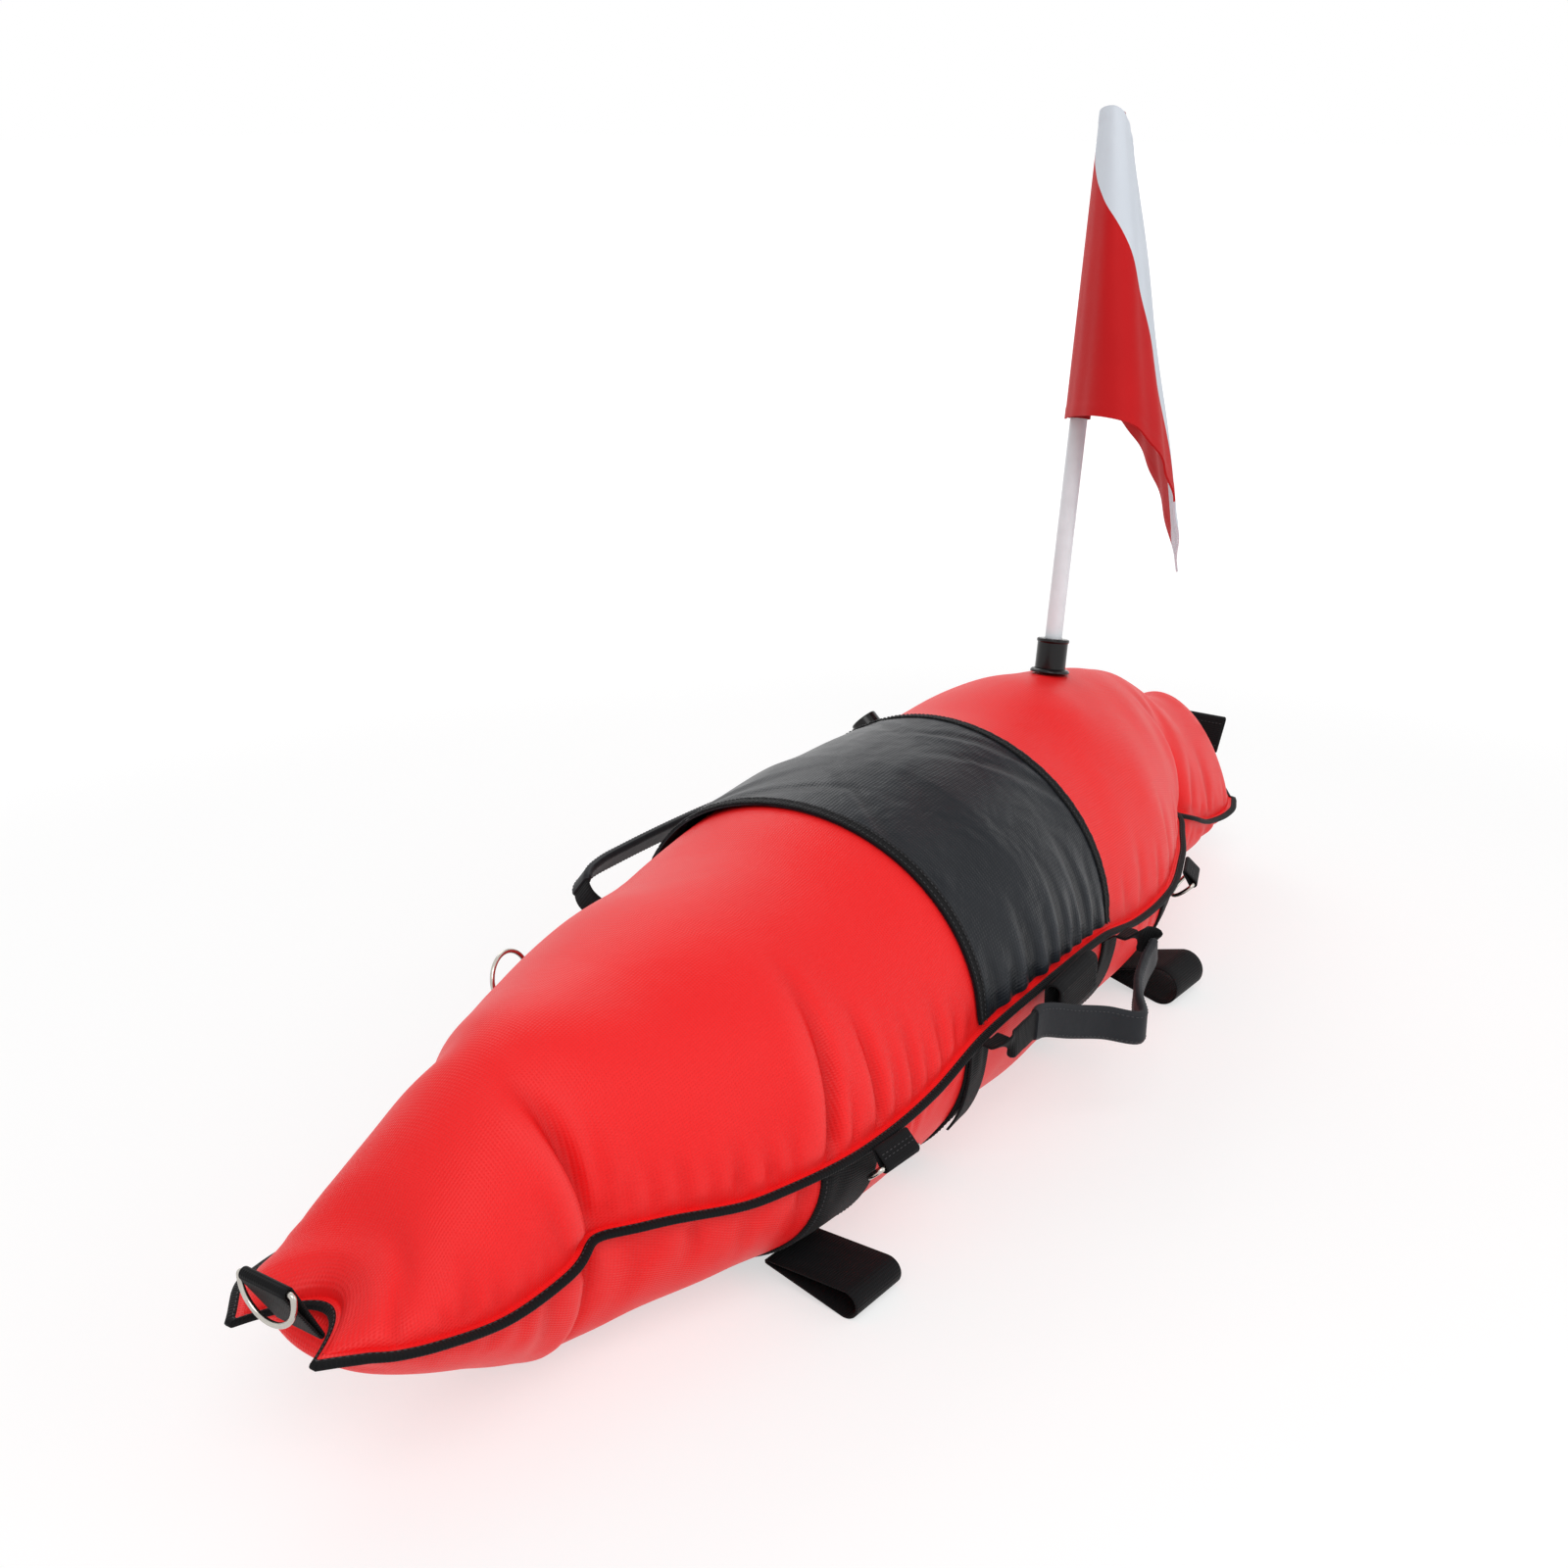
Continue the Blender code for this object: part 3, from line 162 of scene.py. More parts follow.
def crinkleGroup():
    # soft creases of two sizes in coated cloth
    tree, given, end = newGroup("clothCrinkle", {"Place": None, "Large": crinkleSet["large"],
                                                 "Small": crinkleSet["small"]}, ("Height", "Patch"))
    large, small = (fill(tree, addNode(tree, "ShaderNodeTexNoise"), Vector=given["Place"],
                         Scale=given[size.capitalize()], Detail=crinkleSet[size + "Detail"],
                         Distortion=crinkleSet["distortion"]).outputs["Fac"] for size in ("large", "small"))
    smaller = mathNode(tree, "MULTIPLY", small, crinkleSet["smallShare"])
    fill(tree, end, Height=mathNode(tree, "ADD", large, smaller), Patch=large)
    return tree


threadWeave = weaveGroup()
clothCrinkle = crinkleGroup()


def useGroup(tree, group, **values):
    return fill(tree, addNode(tree, "ShaderNodeGroup", node_tree=group), **values).outputs


def clothPattern(tree, look):
    # weave on the piece's own UV map, which is in metres, and creases on its Object coordinates
    place = addNode(tree, "ShaderNodeUVMap", uv_map="cloth").outputs[0]
    weave = useGroup(tree, threadWeave, Place=place, Across_per_metre=look["across"],
                     Along_per_metre=look["along"], Rib=look["rib"])
    crinkle = useGroup(tree, clothCrinkle, Place=addNode(tree, "ShaderNodeTexCoord").outputs["Object"],
                       Large=look["large"], Small=look["small"])
    return place, weave, crinkle


sheenRough = 0.45


def clothMaterial(name, look):
    # coated or woven cloth
    made, tree, shader = newMaterial(name)
    weave, crinkle = clothPattern(tree, look)[1:]
    worn = mixColour(tree, crinkle["Patch"], look["colour"], look["patch"])
    toned = mixColour(tree, mathNode(tree, "MULTIPLY", weave["Shade"], look["shade"]), worn, look["deep"])
    # painted shade and highlight: the colour is darkened towards a shade colour in the crease valleys and
    # lightened towards a highlight colour on the crease ridges, read from the fold attribute
    if "paintedFoldLightShare" in look:
        fold = addNode(tree, "ShaderNodeAttribute", attribute_name="fold").outputs["Fac"]
        for key, amount in (("paintedCreaseShade", -look["paintedFoldLightShare"]), ("paintedRidgeHighlight", look["paintedFoldLightShare"])):
            share = mathNode(tree, "MULTIPLY", fold, amount)
            share.node.use_clamp = True
            toned = mixColour(tree, share, toned, look[key])
    rough = mathNode(tree, "MULTIPLY_ADD", crinkle["Patch"], look["roughSpread"],
                     look["rough"] - look["roughSpread"] / 2)
    addBumps(tree, shader, (weave["Height"], look["weaveStrength"], look["weaveDepth"]),
             (crinkle["Height"], 1.0, look["crinkleDepth"]))
    fill(tree, shader, Base_Color=toned, Roughness=rough, Specular_IOR_Level=look["specular"],
         Sheen_Weight=look["sheen"], Sheen_Roughness=sheenRough)
    return made


# the crease colours of bagRed and panelCloth are painted shade in the crease valleys and painted highlight on
# the crease ridges
clothSets = {
    "bagRed": {"colour": (0.90, 0.011, 0.012), "patch": (0.96, 0.018, 0.019), "deep": (0.62, 0.003, 0.004),
               "shade": 0.38, "across": 560.0, "along": 560.0, "rib": 0.1, "large": 14.0, "small": 70.0,
               "rough": 0.42, "roughSpread": 0.10, "weaveStrength": 0.7, "weaveDepth": 0.0003,
               "crinkleDepth": 0.0014, "specular": 0.24, "sheen": 0.0, "paintedFoldLightShare": 0.36,
               "paintedCreaseShade": (0.45, 0.001, 0.002), "paintedRidgeHighlight": (1.0, 0.075, 0.075)},
    "webbingBlack": {"colour": (0.0055, 0.0055, 0.006), "patch": (0.010, 0.010, 0.011),
                     "deep": (0.002, 0.002, 0.002), "shade": 0.6, "across": 700.0, "along": 520.0, "rib": 0.55,
                     "large": 40.0, "small": 300.0, "rough": 0.62, "roughSpread": 0.15, "weaveStrength": 0.7,
                     "weaveDepth": 0.0004, "crinkleDepth": 0.0005, "specular": 0.08, "sheen": 0.04},
    "panelCloth": {"colour": (0.0040, 0.0058, 0.0090), "patch": (0.0075, 0.0100, 0.0145),
                   "deep": (0.0015, 0.0020, 0.0030), "shade": 0.5, "across": 430.0, "along": 430.0, "rib": 0.2,
                   "large": 22.0, "small": 90.0, "rough": 0.33, "roughSpread": 0.12, "weaveStrength": 0.5,
                   "weaveDepth": 0.0003, "crinkleDepth": 0.0030, "specular": 0.20, "sheen": 0.03,
                   "paintedFoldLightShare": 0.4, "paintedCreaseShade": (0.001, 0.0015, 0.002), "paintedRidgeHighlight": (0.022, 0.028, 0.038)},
    "gripCloth": {"colour": (0.016, 0.017, 0.020), "patch": (0.025, 0.027, 0.031),
                  "deep": (0.010, 0.010, 0.012), "shade": 0.4, "across": 1300.0, "along": 1300.0, "rib": 0.0,
                  "large": 50.0, "small": 200.0, "rough": 0.55, "roughSpread": 0.1, "weaveStrength": 0.3,
                  "weaveDepth": 0.0002, "crinkleDepth": 0.0008, "specular": 0.14, "sheen": 0.04},
}
plasticSets = {
    "glossBlack": {"colour": (0.005, 0.005, 0.0055), "rough": 0.20, "grain": 400.0, "specular": 0.3},
    "poleTube": {"colour": (0.90, 0.93, 0.97), "rough": 0.30, "grain": 60.0, "coat": 0.2},
    "steelWire": {"colour": (0.60, 0.57, 0.52), "rough": 0.24, "grain": 300.0, "metallic": 1.0},
    "blackThread": {"colour": (0.030, 0.030, 0.034), "rough": 0.60, "grain": 900.0},
    "flagRed": {"colour": (0.40, 0.006, 0.008), "rough": 0.60, "grain": 120.0, "specular": 0.15},
    "bladderFilm": {"colour": (0.30, 0.31, 0.33), "rough": 0.40, "grain": 50.0},
}
grainSet = {"detail": 4.0, "dark": 0.75, "roughSpread": 0.12, "strength": 0.25, "depth": 0.0001}


def plasticMaterial(name, colour, rough, grain, coat=0.0, metallic=0.0, specular=0.5):
    made, tree, shader = newMaterial(name)
    body = addNode(tree, "ShaderNodeTexCoord").outputs["Object"]
    noise = fill(tree, addNode(tree, "ShaderNodeTexNoise"), Vector=body, Scale=grain, Detail=grainSet["detail"])
    spots = noise.outputs["Fac"]
    darker = tuple(grainSet["dark"] * c for c in colour)
    spread = grainSet["roughSpread"]
    addBumps(tree, shader, (spots, grainSet["strength"], grainSet["depth"]))
    rougher = mathNode(tree, "MULTIPLY_ADD", spots, spread, rough - spread / 2)
    fill(tree, shader, Base_Color=mixColour(tree, spots, darker, colour), Roughness=rougher, Metallic=metallic,
         Coat_Weight=coat, Specular_IOR_Level=specular)
    return made


flagLook = {"across": 1400.0, "along": 1400.0, "rib": 0.0, "large": 16.0, "small": 60.0,
            "red": ((0.50, 0.006, 0.008), (0.60, 0.010, 0.012)),
            "white": ((0.64, 0.69, 0.76), (0.74, 0.78, 0.84)), "rough": 0.60, "specular": 0.15,
            "weaveStrength": 0.25, "weaveDepth": 0.0002, "crinkleStrength": 0.8, "crinkleDepth": 0.0012,
            "lower": (0.122, 1.23), "upper": (-0.27, 1.15)}  # the stripe's edges: start on the hoist and slope


def flagMaterial(name, fly, hoist):
    # red cloth with a slanting white stripe
    made, tree, shader = newMaterial(name)
    place, weave, crinkle = clothPattern(tree, flagLook)
    apart = fill(tree, addNode(tree, "ShaderNodeSeparateXYZ"), Vector=place).outputs
    along = mathNode(tree, "DIVIDE", apart[0], fly)
    fallen = mathNode(tree, "DIVIDE", apart[1], hoist)
    sides = []
    for side, operation in (("lower", "LESS_THAN"), ("upper", "GREATER_THAN")):
        start, slope = flagLook[side]
        sides.append(mathNode(tree, operation, fallen, mathNode(tree, "MULTIPLY_ADD", along, slope, start)))
    red, white = (mixColour(tree, crinkle["Patch"], *flagLook[tone]) for tone in ("red", "white"))
    addBumps(tree, shader, (weave["Height"], flagLook["weaveStrength"], flagLook["weaveDepth"]),
             (crinkle["Height"], flagLook["crinkleStrength"], flagLook["crinkleDepth"]))
    fill(tree, shader, Base_Color=mixColour(tree, mathNode(tree, "MULTIPLY", *sides), red, white),
         Roughness=flagLook["rough"], Specular_IOR_Level=flagLook["specular"])
    return made


materials = {name: clothMaterial(name, look) for name, look in clothSets.items()}
materials.update({name: plasticMaterial(name, **look) for name, look in plasticSets.items()})
print("materials made")


def smoothStep(s):
    s = np.clip(s, 0.0, 1.0)
    return s * s * (3 - 2 * s)


def unit(vectors):
    return vectors / np.maximum(np.linalg.norm(vectors, axis=-1, keepdims=True), 1e-12)


def runAlong(points):
    # distance passed at each point of a line
    return np.concatenate(([0.0], np.cumsum(np.linalg.norm(np.diff(points, axis=0), axis=1))))


def turned(place, vectors):
    return np.asarray(vectors, float) @ np.array(place.to_3x3()).T


def placed(place, points):
    return np.array(place.translation) + turned(place, points)


def curveThrough(places, values, at):
    # value on a smooth curve that doesn't overshoot its points
    places, values = np.asarray(places, float), np.asarray(values, float)
    steps = np.diff(values) / np.diff(places)
    first, second = steps[:-1], steps[1:]
    both = np.where(np.abs(first + second) < 1e-12, 1.0, first + second)
    inner = np.where(first * second <= 0, 0.0, 2 * first * second / both)
    slopes = np.concatenate(([steps[0]], inner, [steps[-1]]))
    i = np.clip(np.searchsorted(places, at) - 1, 0, len(places) - 2)
    width = places[i + 1] - places[i]
    s = np.clip((at - places[i]) / width, 0.0, 1.0)
    return ((1 + 2 * s) * (1 - s) ** 2 * values[i] + s * (1 - s) ** 2 * width * slopes[i]
            + s * s * (3 - 2 * s) * values[i + 1] - s * s * (1 - s) * width * slopes[i + 1])


def finishPiece(name, mesh, material, sharp, body, nodes):
    # shading, unless sharp is None, and what the piece rides on and stands for
    if sharp is not None:
        mesh.shade_smooth()
        mesh.set_sharp_from_angle(angle=math.radians(sharp))
        mesh.materials.append(materials[material])
    piece = bpy.data.objects.new(name, mesh)
    bpy.context.collection.objects.link(piece)
    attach(piece, body)
    if nodes:
        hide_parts(*nodes)
    return piece


def makePiece(name, points, faces, material, body, *nodes, uv=None, wrap=None, sharp=50, folds=None):
    mesh = bpy.data.meshes.new(name)
    mesh.from_pydata(np.asarray(points, float).reshape(-1, 3).tolist(), [], [list(f) for f in faces])
    shaped = bmesh.new()
    shaped.from_mesh(mesh)
    bmesh.ops.recalc_face_normals(shaped, faces=shaped.faces)
    if shaped.calc_volume(signed=True) < 0:  # a thin shell can come out turned inside out
        bmesh.ops.reverse_faces(shaped, faces=shaped.faces)
    shaped.to_mesh(mesh)
    shaped.free()
    if uv is not None:
        corner = np.empty(len(mesh.loops), dtype=np.int64)
        mesh.loops.foreach_get("vertex_index", corner)
        values = np.asarray(uv, float).reshape(-1, 2)[corner]
        if wrap:  # the faces that close a loop get the far end's places
            starts = np.empty(len(mesh.polygons), dtype=np.int64)
            mesh.polygons.foreach_get("loop_start", starts)
            highest = np.maximum.reduceat(values[:, 1], starts)
            sizes = np.diff(np.append(starts, len(corner)))
            values[values[:, 1] < np.repeat(highest, sizes) - wrap / 2, 1] += wrap
        mesh.uv_layers.new(name="cloth").data.foreach_set("uv", values.ravel())
    # crease depths kept as a point attribute, the mask for painted crease shade and ridge highlights
    if folds is not None:
        both = np.concatenate((folds.ravel(), folds.ravel()))
        mesh.attributes.new("fold", "FLOAT", "POINT").data.foreach_set("value", both)
    return finishPiece(name, mesh, material, sharp, body, nodes)


def shell(outer, inner):
    # closed body between two grids of points
    rows, columns = outer.shape[:2]
    count = rows * columns
    index = np.arange(count).reshape(rows, columns)
    corners = (index[:-1, :-1], index[1:, :-1], index[1:, 1:], index[:-1, 1:])
    quads = np.stack(corners, -1).reshape(-1, 4)
    faces = [quads, quads[:, ::-1] + count]
    for strip in (index[0], index[-1], index[:, 0], index[:, -1]):
        faces.append(np.stack((strip[:-1], strip[1:], strip[1:] + count, strip[:-1] + count), -1))
    return np.concatenate((outer.reshape(-1, 3), inner.reshape(-1, 3))), np.concatenate(faces)


def tube(rings, closedPath=False):
    # body through rings of points, capped unless the path is closed
    count, size = rings.shape[:2]
    index = np.arange(count * size).reshape(count, size)
    around = np.hstack((index, index[:, :1]))
    if closedPath:
        around = np.vstack((around, around[:1]))
    quads = np.stack((around[:-1, :-1], around[1:, :-1], around[1:, 1:], around[:-1, 1:]), -1).reshape(-1, 4)
    faces = [list(q) for q in quads.tolist()]
    if not closedPath:
        faces += [index[0].tolist(), index[-1][::-1].tolist()]
    return rings.reshape(-1, 3), faces


def webProfile(width, thickness, corner=0.45, across=5):
    # rounded rectangle, its width along the first axis
    radius = corner * thickness
    half, rise = width / 2 - radius, thickness / 2 - radius
    outline = []
    for sx, sy, first in ((1, 1, 0), (-1, 1, 1), (-1, -1, 2), (1, -1, 3)):
        for k in range(3):
            a = math.pi / 2 * (first + k / 2)
            outline.append((sx * half + radius * math.cos(a), sy * rise + radius * math.sin(a)))
        if first in (0, 2):
            run = np.linspace(half, -half, across + 2)[1:-1] * (1 if first == 0 else -1)
            outline += [(float(x), sy * thickness / 2) for x in run]
    return np.array(outline)


def sweep(name, path, wide, thick, profile, material, body, *nodes, closedPath=False, sharp=50, swell=1.0):
    # an outline carried along a path, with a UV map that runs along it
    outline = profile[None, :, :1] * wide[:, None] + profile[None, :, 1:] * thick[:, None]
    rings = path[:, None] + np.broadcast_to(swell, len(path))[:, None, None] * outline
    points, faces = tube(rings, closedPath)
    run = runAlong(path)
    wrap = run[-1] + np.linalg.norm(path[0] - path[-1]) if closedPath else None
    uv = np.stack((np.broadcast_to(profile[None, :, 0], rings.shape[:2]),
                   np.broadcast_to(run[:, None], rings.shape[:2])), -1)
    return makePiece(name, points, faces, material, body, *nodes, uv=uv, wrap=wrap, sharp=sharp)


turning = {"segments": 72, "sharp": 40, "arcSteps": 3, "mostShare": 0.45}


def turnedPiece(name, profile, edge, place, material, body, *nodes):
    # body turned about the local Z from (radius, height) points that run from axis to axis
    profile = roundedProfile(profile, edge)
    mesh = bpy.data.meshes.new(name)
    made = bmesh.new()
    line = [made.verts.new((r, 0, z)) for r, z in profile]
    edges = [made.edges.new(pair) for pair in zip(line, line[1:])]
    if profile[0][0] > 0:
        edges.append(made.edges.new((line[-1], line[0])))
    bmesh.ops.spin(made, geom=line + edges, cent=(0, 0, 0), axis=(0, 0, 1), angle=2 * math.pi,
                   steps=turning["segments"], use_merge=True)
    bmesh.ops.remove_doubles(made, verts=made.verts, dist=1e-7)
    bmesh.ops.recalc_face_normals(made, faces=made.faces)
    made.transform(place)
    made.to_mesh(mesh)
    made.free()
    return finishPiece(name, mesh, material, turning["sharp"], body, nodes)


def roundedProfile(profile, radius):
    # the same outline with a small arc at each corner that is off the axis
    closed = profile[0][0] > 0
    result = [] if closed else [profile[0]]
    points = [Vector(p) for p in profile]
    for i in range(len(points)) if closed else range(1, len(points) - 1):
        before, here, after = points[i - 1], points[i], points[(i + 1) % len(points)]
        first, second = before - here, after - here
        cut = min(radius, first.length * turning["mostShare"], second.length * turning["mostShare"])
        start, end = here + first.normalized() * cut, here + second.normalized() * cut
        for k in range(turning["arcSteps"] + 1):
            s = k / turning["arcSteps"]
            result.append(tuple((1 - s) ** 2 * start + 2 * s * (1 - s) * here + s * s * end))
    return result if closed else result + [profile[-1]]


# The bag's form, in the same measures as its solids
bag = {"halfLength": 0.535, "halfWidth": 0.137, "seamHeight": 0.116, "crownHeight": 0.124, "bowTip": 0.106,
       "sternTip": 0.055, "sternArch": 0.055, "tipDepth": 0.034, "bellySag": 0.010, "bellyRise": 0.052,
       "bowPull": 0.033, "sternPull": 0.012, "foldPlace": 0.382, "foldNotch": 0.010, "foldSpread": 0.016,
       "fabric": 0.0010, "rest": 0.0019, "roundness": 0.9, "tipRoundness": 16, "pullStart": 0.80, "level": 0.97,
       "lipBulge": 0.9, "lipBlend": 1.6, "paintedFoldLightScale": 0.004, "softEdge": 0.010, "softEnd": 0.03,
       "tableRows": 1071, "tableAcross": 301}
bagShares = {
    "stations": (0.0, 0.166, 0.288, 0.407, 0.553, 0.70, 0.86, 0.95, 1.0),
    "width": ((1.0, 0.975, 0.97, 0.935, 0.78, 0.53, 0.45, 0.36, 0.20),
              (1.0, 0.975, 0.97, 0.935, 0.78, 0.57, 0.53, 0.51, 0.45)),
    "seam": ((1.0, 0.95, 0.85, 0.81, 0.80, 0.87, 0.80, 0.86), (1.0, 0.95, 0.85, 0.81, 0.80, 0.82, 0.57, 0.49)),
    "crown": ((0.97, 0.95, 0.93, 0.95, 0.88, 0.77, 0.49, 0.25, 0.20),
              (0.97, 1.03, 1.10, 1.17, 1.08, 0.92, 0.80, 0.66, 0.60)),
    "rise": ((0.0, 0.0, 0.0, 0.0, 0.14, 0.10, 0.85, 1.25), (0.0, 0.0, 0.0, 0.0, 0.14, 0.10, 0.30, 0.42)),
}


def byEnd(x, bow, stern):
    return np.where(x < 0, bow, stern)


def alongBag(x, name, scale, ends=None, top=1.0):
    share = np.minimum(np.abs(x) / bag["halfLength"] / top, 1.0)
    curves = []
    for k, shares in enumerate(bagShares[name]):
        values = [scale * s for s in shares] + ([ends[k]] if ends else [])
        curves.append(curveThrough(bagShares["stations"], values, share))
    return byEnd(x, *curves)


def endShare(x):
    return np.minimum(np.abs(x) / bag["halfLength"], 1.0)


def tipRounding(x):
    return np.sqrt(np.maximum(0.0, 1 - endShare(x) ** bag["tipRoundness"]))


def endRamp(x):
    return smoothStep((endShare(x) - bag["pullStart"]) / (1 - bag["pullStart"]))


def halfWidth(x):
    notch = bag["foldNotch"] * np.exp(-((np.abs(x) - bag["foldPlace"]) / bag["foldSpread"]) ** 2)
    return alongBag(x, "width", bag["halfWidth"]) - notch


def seamHeight(x, t=0.0):
    level = np.minimum(endShare(x) / bag["level"], 1.0)
    arch = byEnd(x, 0.0, bag["sternArch"]) * smoothStep(level) * endRamp(x)
    ends = (bag["bowTip"], bag["sternTip"])
    return alongBag(x, "seam", bag["seamHeight"], ends, bag["level"]) + arch * np.sin(math.pi * t) ** 2


def crownHeight(x):
    return alongBag(x, "crown", bag["crownHeight"]) * tipRounding(x)


def bellyDepth(x):
    ends = (bag["bowTip"] - bag["tipDepth"], bag["sternTip"] - bag["tipDepth"])
    lowest = alongBag(x, "rise", bag["bellyRise"], ends)
    sag = bag["bellySag"] * (1 - smoothStep(endShare(x) / bagShares["stations"][4]))
    return (seamHeight(x) - lowest + sag) * tipRounding(x)


def pulledIn(x, t, kept=1.0):
    pull = byEnd(x, bag["bowPull"] * kept, bag["sternPull"]) * endRamp(x)
    return x - np.sign(x) * pull * np.sin(math.pi * t) ** 2


# Creases in the cloth: start and end as (place along, distance from the near seam), then width and depth
topCreases = [
    (-0.381, 0.000, -0.397, 0.112, 0.0072, 0.0084), (-0.371, 0.006, -0.370, 0.066, 0.0055, 0.0032),
    (-0.404, 0.000, -0.416, 0.050, 0.0070, 0.0020), (-0.361, 0.000, -0.362, 0.034, 0.0042, 0.0016),
    (-0.348, 0.000, -0.350, 0.036, 0.0046, 0.0014), (-0.333, 0.000, -0.334, 0.040, 0.0044, 0.0018),
    (-0.317, 0.000, -0.318, 0.036, 0.0046, 0.0016), (-0.302, 0.000, -0.303, 0.044, 0.0048, 0.0020),
    (-0.283, 0.000, -0.284, 0.036, 0.0042, 0.0017), (-0.266, 0.000, -0.267, 0.040, 0.0044, 0.0018),
    (-0.243, 0.000, -0.212, 0.140, 0.0070, 0.0080), (-0.223, 0.000, -0.218, 0.056, 0.0050, 0.0032),
    (-0.199, 0.008, -0.192, 0.096, 0.0054, 0.0058), (-0.180, 0.000, -0.177, 0.060, 0.0060, 0.0020),
    (-0.163, 0.000, -0.161, 0.072, 0.0055, 0.0032), (-0.146, 0.000, -0.146, 0.050, 0.0055, 0.0016),
    (-0.130, 0.000, -0.131, 0.066, 0.0055, 0.0030), (-0.112, 0.000, -0.113, 0.046, 0.0050, 0.0018),
    (-0.472, 0.000, -0.456, 0.052, 0.0080, 0.0016), (-0.506, 0.020, -0.482, 0.080, 0.0070, 0.0014),
    (0.140, 0.000, 0.138, 0.050, 0.0060, 0.0014), (0.172, 0.000, 0.176, 0.070, 0.0080, 0.0018),
    (0.210, 0.000, 0.212, 0.050, 0.0060, 0.0018), (0.250, 0.000, 0.246, 0.080, 0.0080, 0.0020),
    (0.300, 0.000, 0.300, 0.060, 0.0070, 0.0020), (0.386, 0.000, 0.342, 0.130, 0.0085, 0.0070),
    (0.410, 0.000, 0.420, 0.060, 0.0080, 0.0022), (0.462, 0.000, 0.450, 0.070, 0.0090, 0.0024),
]
bellyCreases = [
    (-0.386, 0.000, -0.392, 0.105, 0.0070, 0.0080), (-0.362, 0.000, -0.358, 0.050, 0.0070, 0.0020),
    (-0.420, 0.000, -0.415, 0.060, 0.0080, 0.0022), (-0.330, 0.000, -0.328, 0.040, 0.0060, 0.0016),
    (-0.300, 0.000, -0.297, 0.050, 0.0065, 0.0018), (-0.262, 0.000, -0.256, 0.060, 0.0080, 0.0026),
    (-0.178, 0.000, -0.175, 0.055, 0.0075, 0.0022), (0.195, 0.000, 0.200, 0.050, 0.0070, 0.0020),
    (0.300, 0.000, 0.290, 0.060, 0.0080, 0.0022), (0.380, 0.000, 0.372, 0.080, 0.0110, 0.0040),
    (0.460, 0.000, 0.455, 0.050, 0.0080, 0.0018),
]
farCreases = [
    (-0.384, 0.000, -0.392, 0.040, 0.0080, 0.0020), (-0.245, 0.000, -0.238, 0.036, 0.0070, 0.0016),
    (-0.190, 0.000, -0.188, 0.050, 0.0065, 0.0022), (0.160, 0.000, 0.163, 0.060, 0.0080, 0.0018),
    (0.262, 0.000, 0.258, 0.060, 0.0080, 0.0020),
]
sternFill = {"place": 0.490, "spread": 0.032, "depth": -0.012, "start": 0.20, "blend": 0.40}
puckers = {"seeds": {True: 3, False: 5}, "count": 46, "reach": 0.50, "shift": 0.008, "lean": 0.006,
           "length": (0.014, 0.038), "width": (0.004, 0.008), "depth": (0.0006, 0.0018)}


def seamPuckers(seed):
    chance = np.random.default_rng(seed)
    shift, lean = puckers["shift"], puckers["lean"]
    places = np.linspace(-puckers["reach"], puckers["reach"], puckers["count"])
    rows = []
    for x in places + chance.uniform(-shift, shift, puckers["count"]):
        length, width, depth = (chance.uniform(*puckers[k]) for k in ("length", "width", "depth"))
        rows.append((x, 0.0, x + chance.uniform(-lean, lean), length, width, depth))
    return rows


creaseShape = {"reach": 5, "lead": 0.3, "end": 1.1, "fadeIn": 3, "fadeOut": 1.3, "valley": 1.2,
               "ridges": ((0.55, -1.5, 1.1), (0.25, 1.9, 1.2))}  # height, place and spread of each ridge


def creaseField(x, v, creases):
    # sharp valleys with a soft ridge on each side, the higher one towards the bow, fading at their upper ends
    lead = creaseShape["lead"]
    total = np.zeros(np.broadcast(x, v).shape)
    for x0, v0, x1, v1, width, depth in creases:
        length = math.hypot(x1 - x0, v1 - v0)
        dx, dv = (x1 - x0) / length, (v1 - v0) / length
        s = ((x - x0) * dx + (v - v0) * dv) / length
        d = ((x - x0) * dv - (v - v0) * dx) / width
        near = (np.abs(d) < creaseShape["reach"]) & (s > -lead) & (s < creaseShape["end"])
        fade = smoothStep((1 - s) * creaseShape["fadeOut"]) * smoothStep((s + lead) * creaseShape["fadeIn"])
        shape = -np.exp(-(d * creaseShape["valley"]) ** 2)
        for height, place, spread in creaseShape["ridges"]:
            shape = shape + height * np.exp(-((d - place) / spread) ** 2)
        total += np.where(near, depth * fade * shape, 0.0)
    return total


ripples = {"widths": (0.060, 0.090, 0.120, 0.150, 0.180), "turn": 0.5, "circle": 6.28, "depth": 0.0012}


def ripple(x, v, seed):
    # broad unevenness of a bag that is blown up tight
    chance = np.random.default_rng(seed)
    total, circle = 0.0, ripples["circle"]
    for width in ripples["widths"]:
        turn, phase = chance.uniform(-ripples["turn"], ripples["turn"]), chance.uniform(0, circle)
        total = total + np.sin((x * math.cos(turn) + v * math.sin(turn)) * circle / width + phase)
    return ripples["depth"] * total / len(ripples["widths"])


def clothPlaces(x, t, top):
    # distance over the cloth from the near seam and from the far seam
    depth = crownHeight(x) if top else bellyDepth(x)
    girth = math.pi * (halfWidth(x) + depth) / 2
    return t * girth, (1 - t) * girth


def clothFolds(x, t, top):
    near, far = clothPlaces(x, t, top)
    seed = puckers["seeds"][top]
    nearCreases = (topCreases if top else bellyCreases) + seamPuckers(seed)
    return creaseField(x, near, nearCreases) + creaseField(x, far, farCreases + seamPuckers(seed + 1))


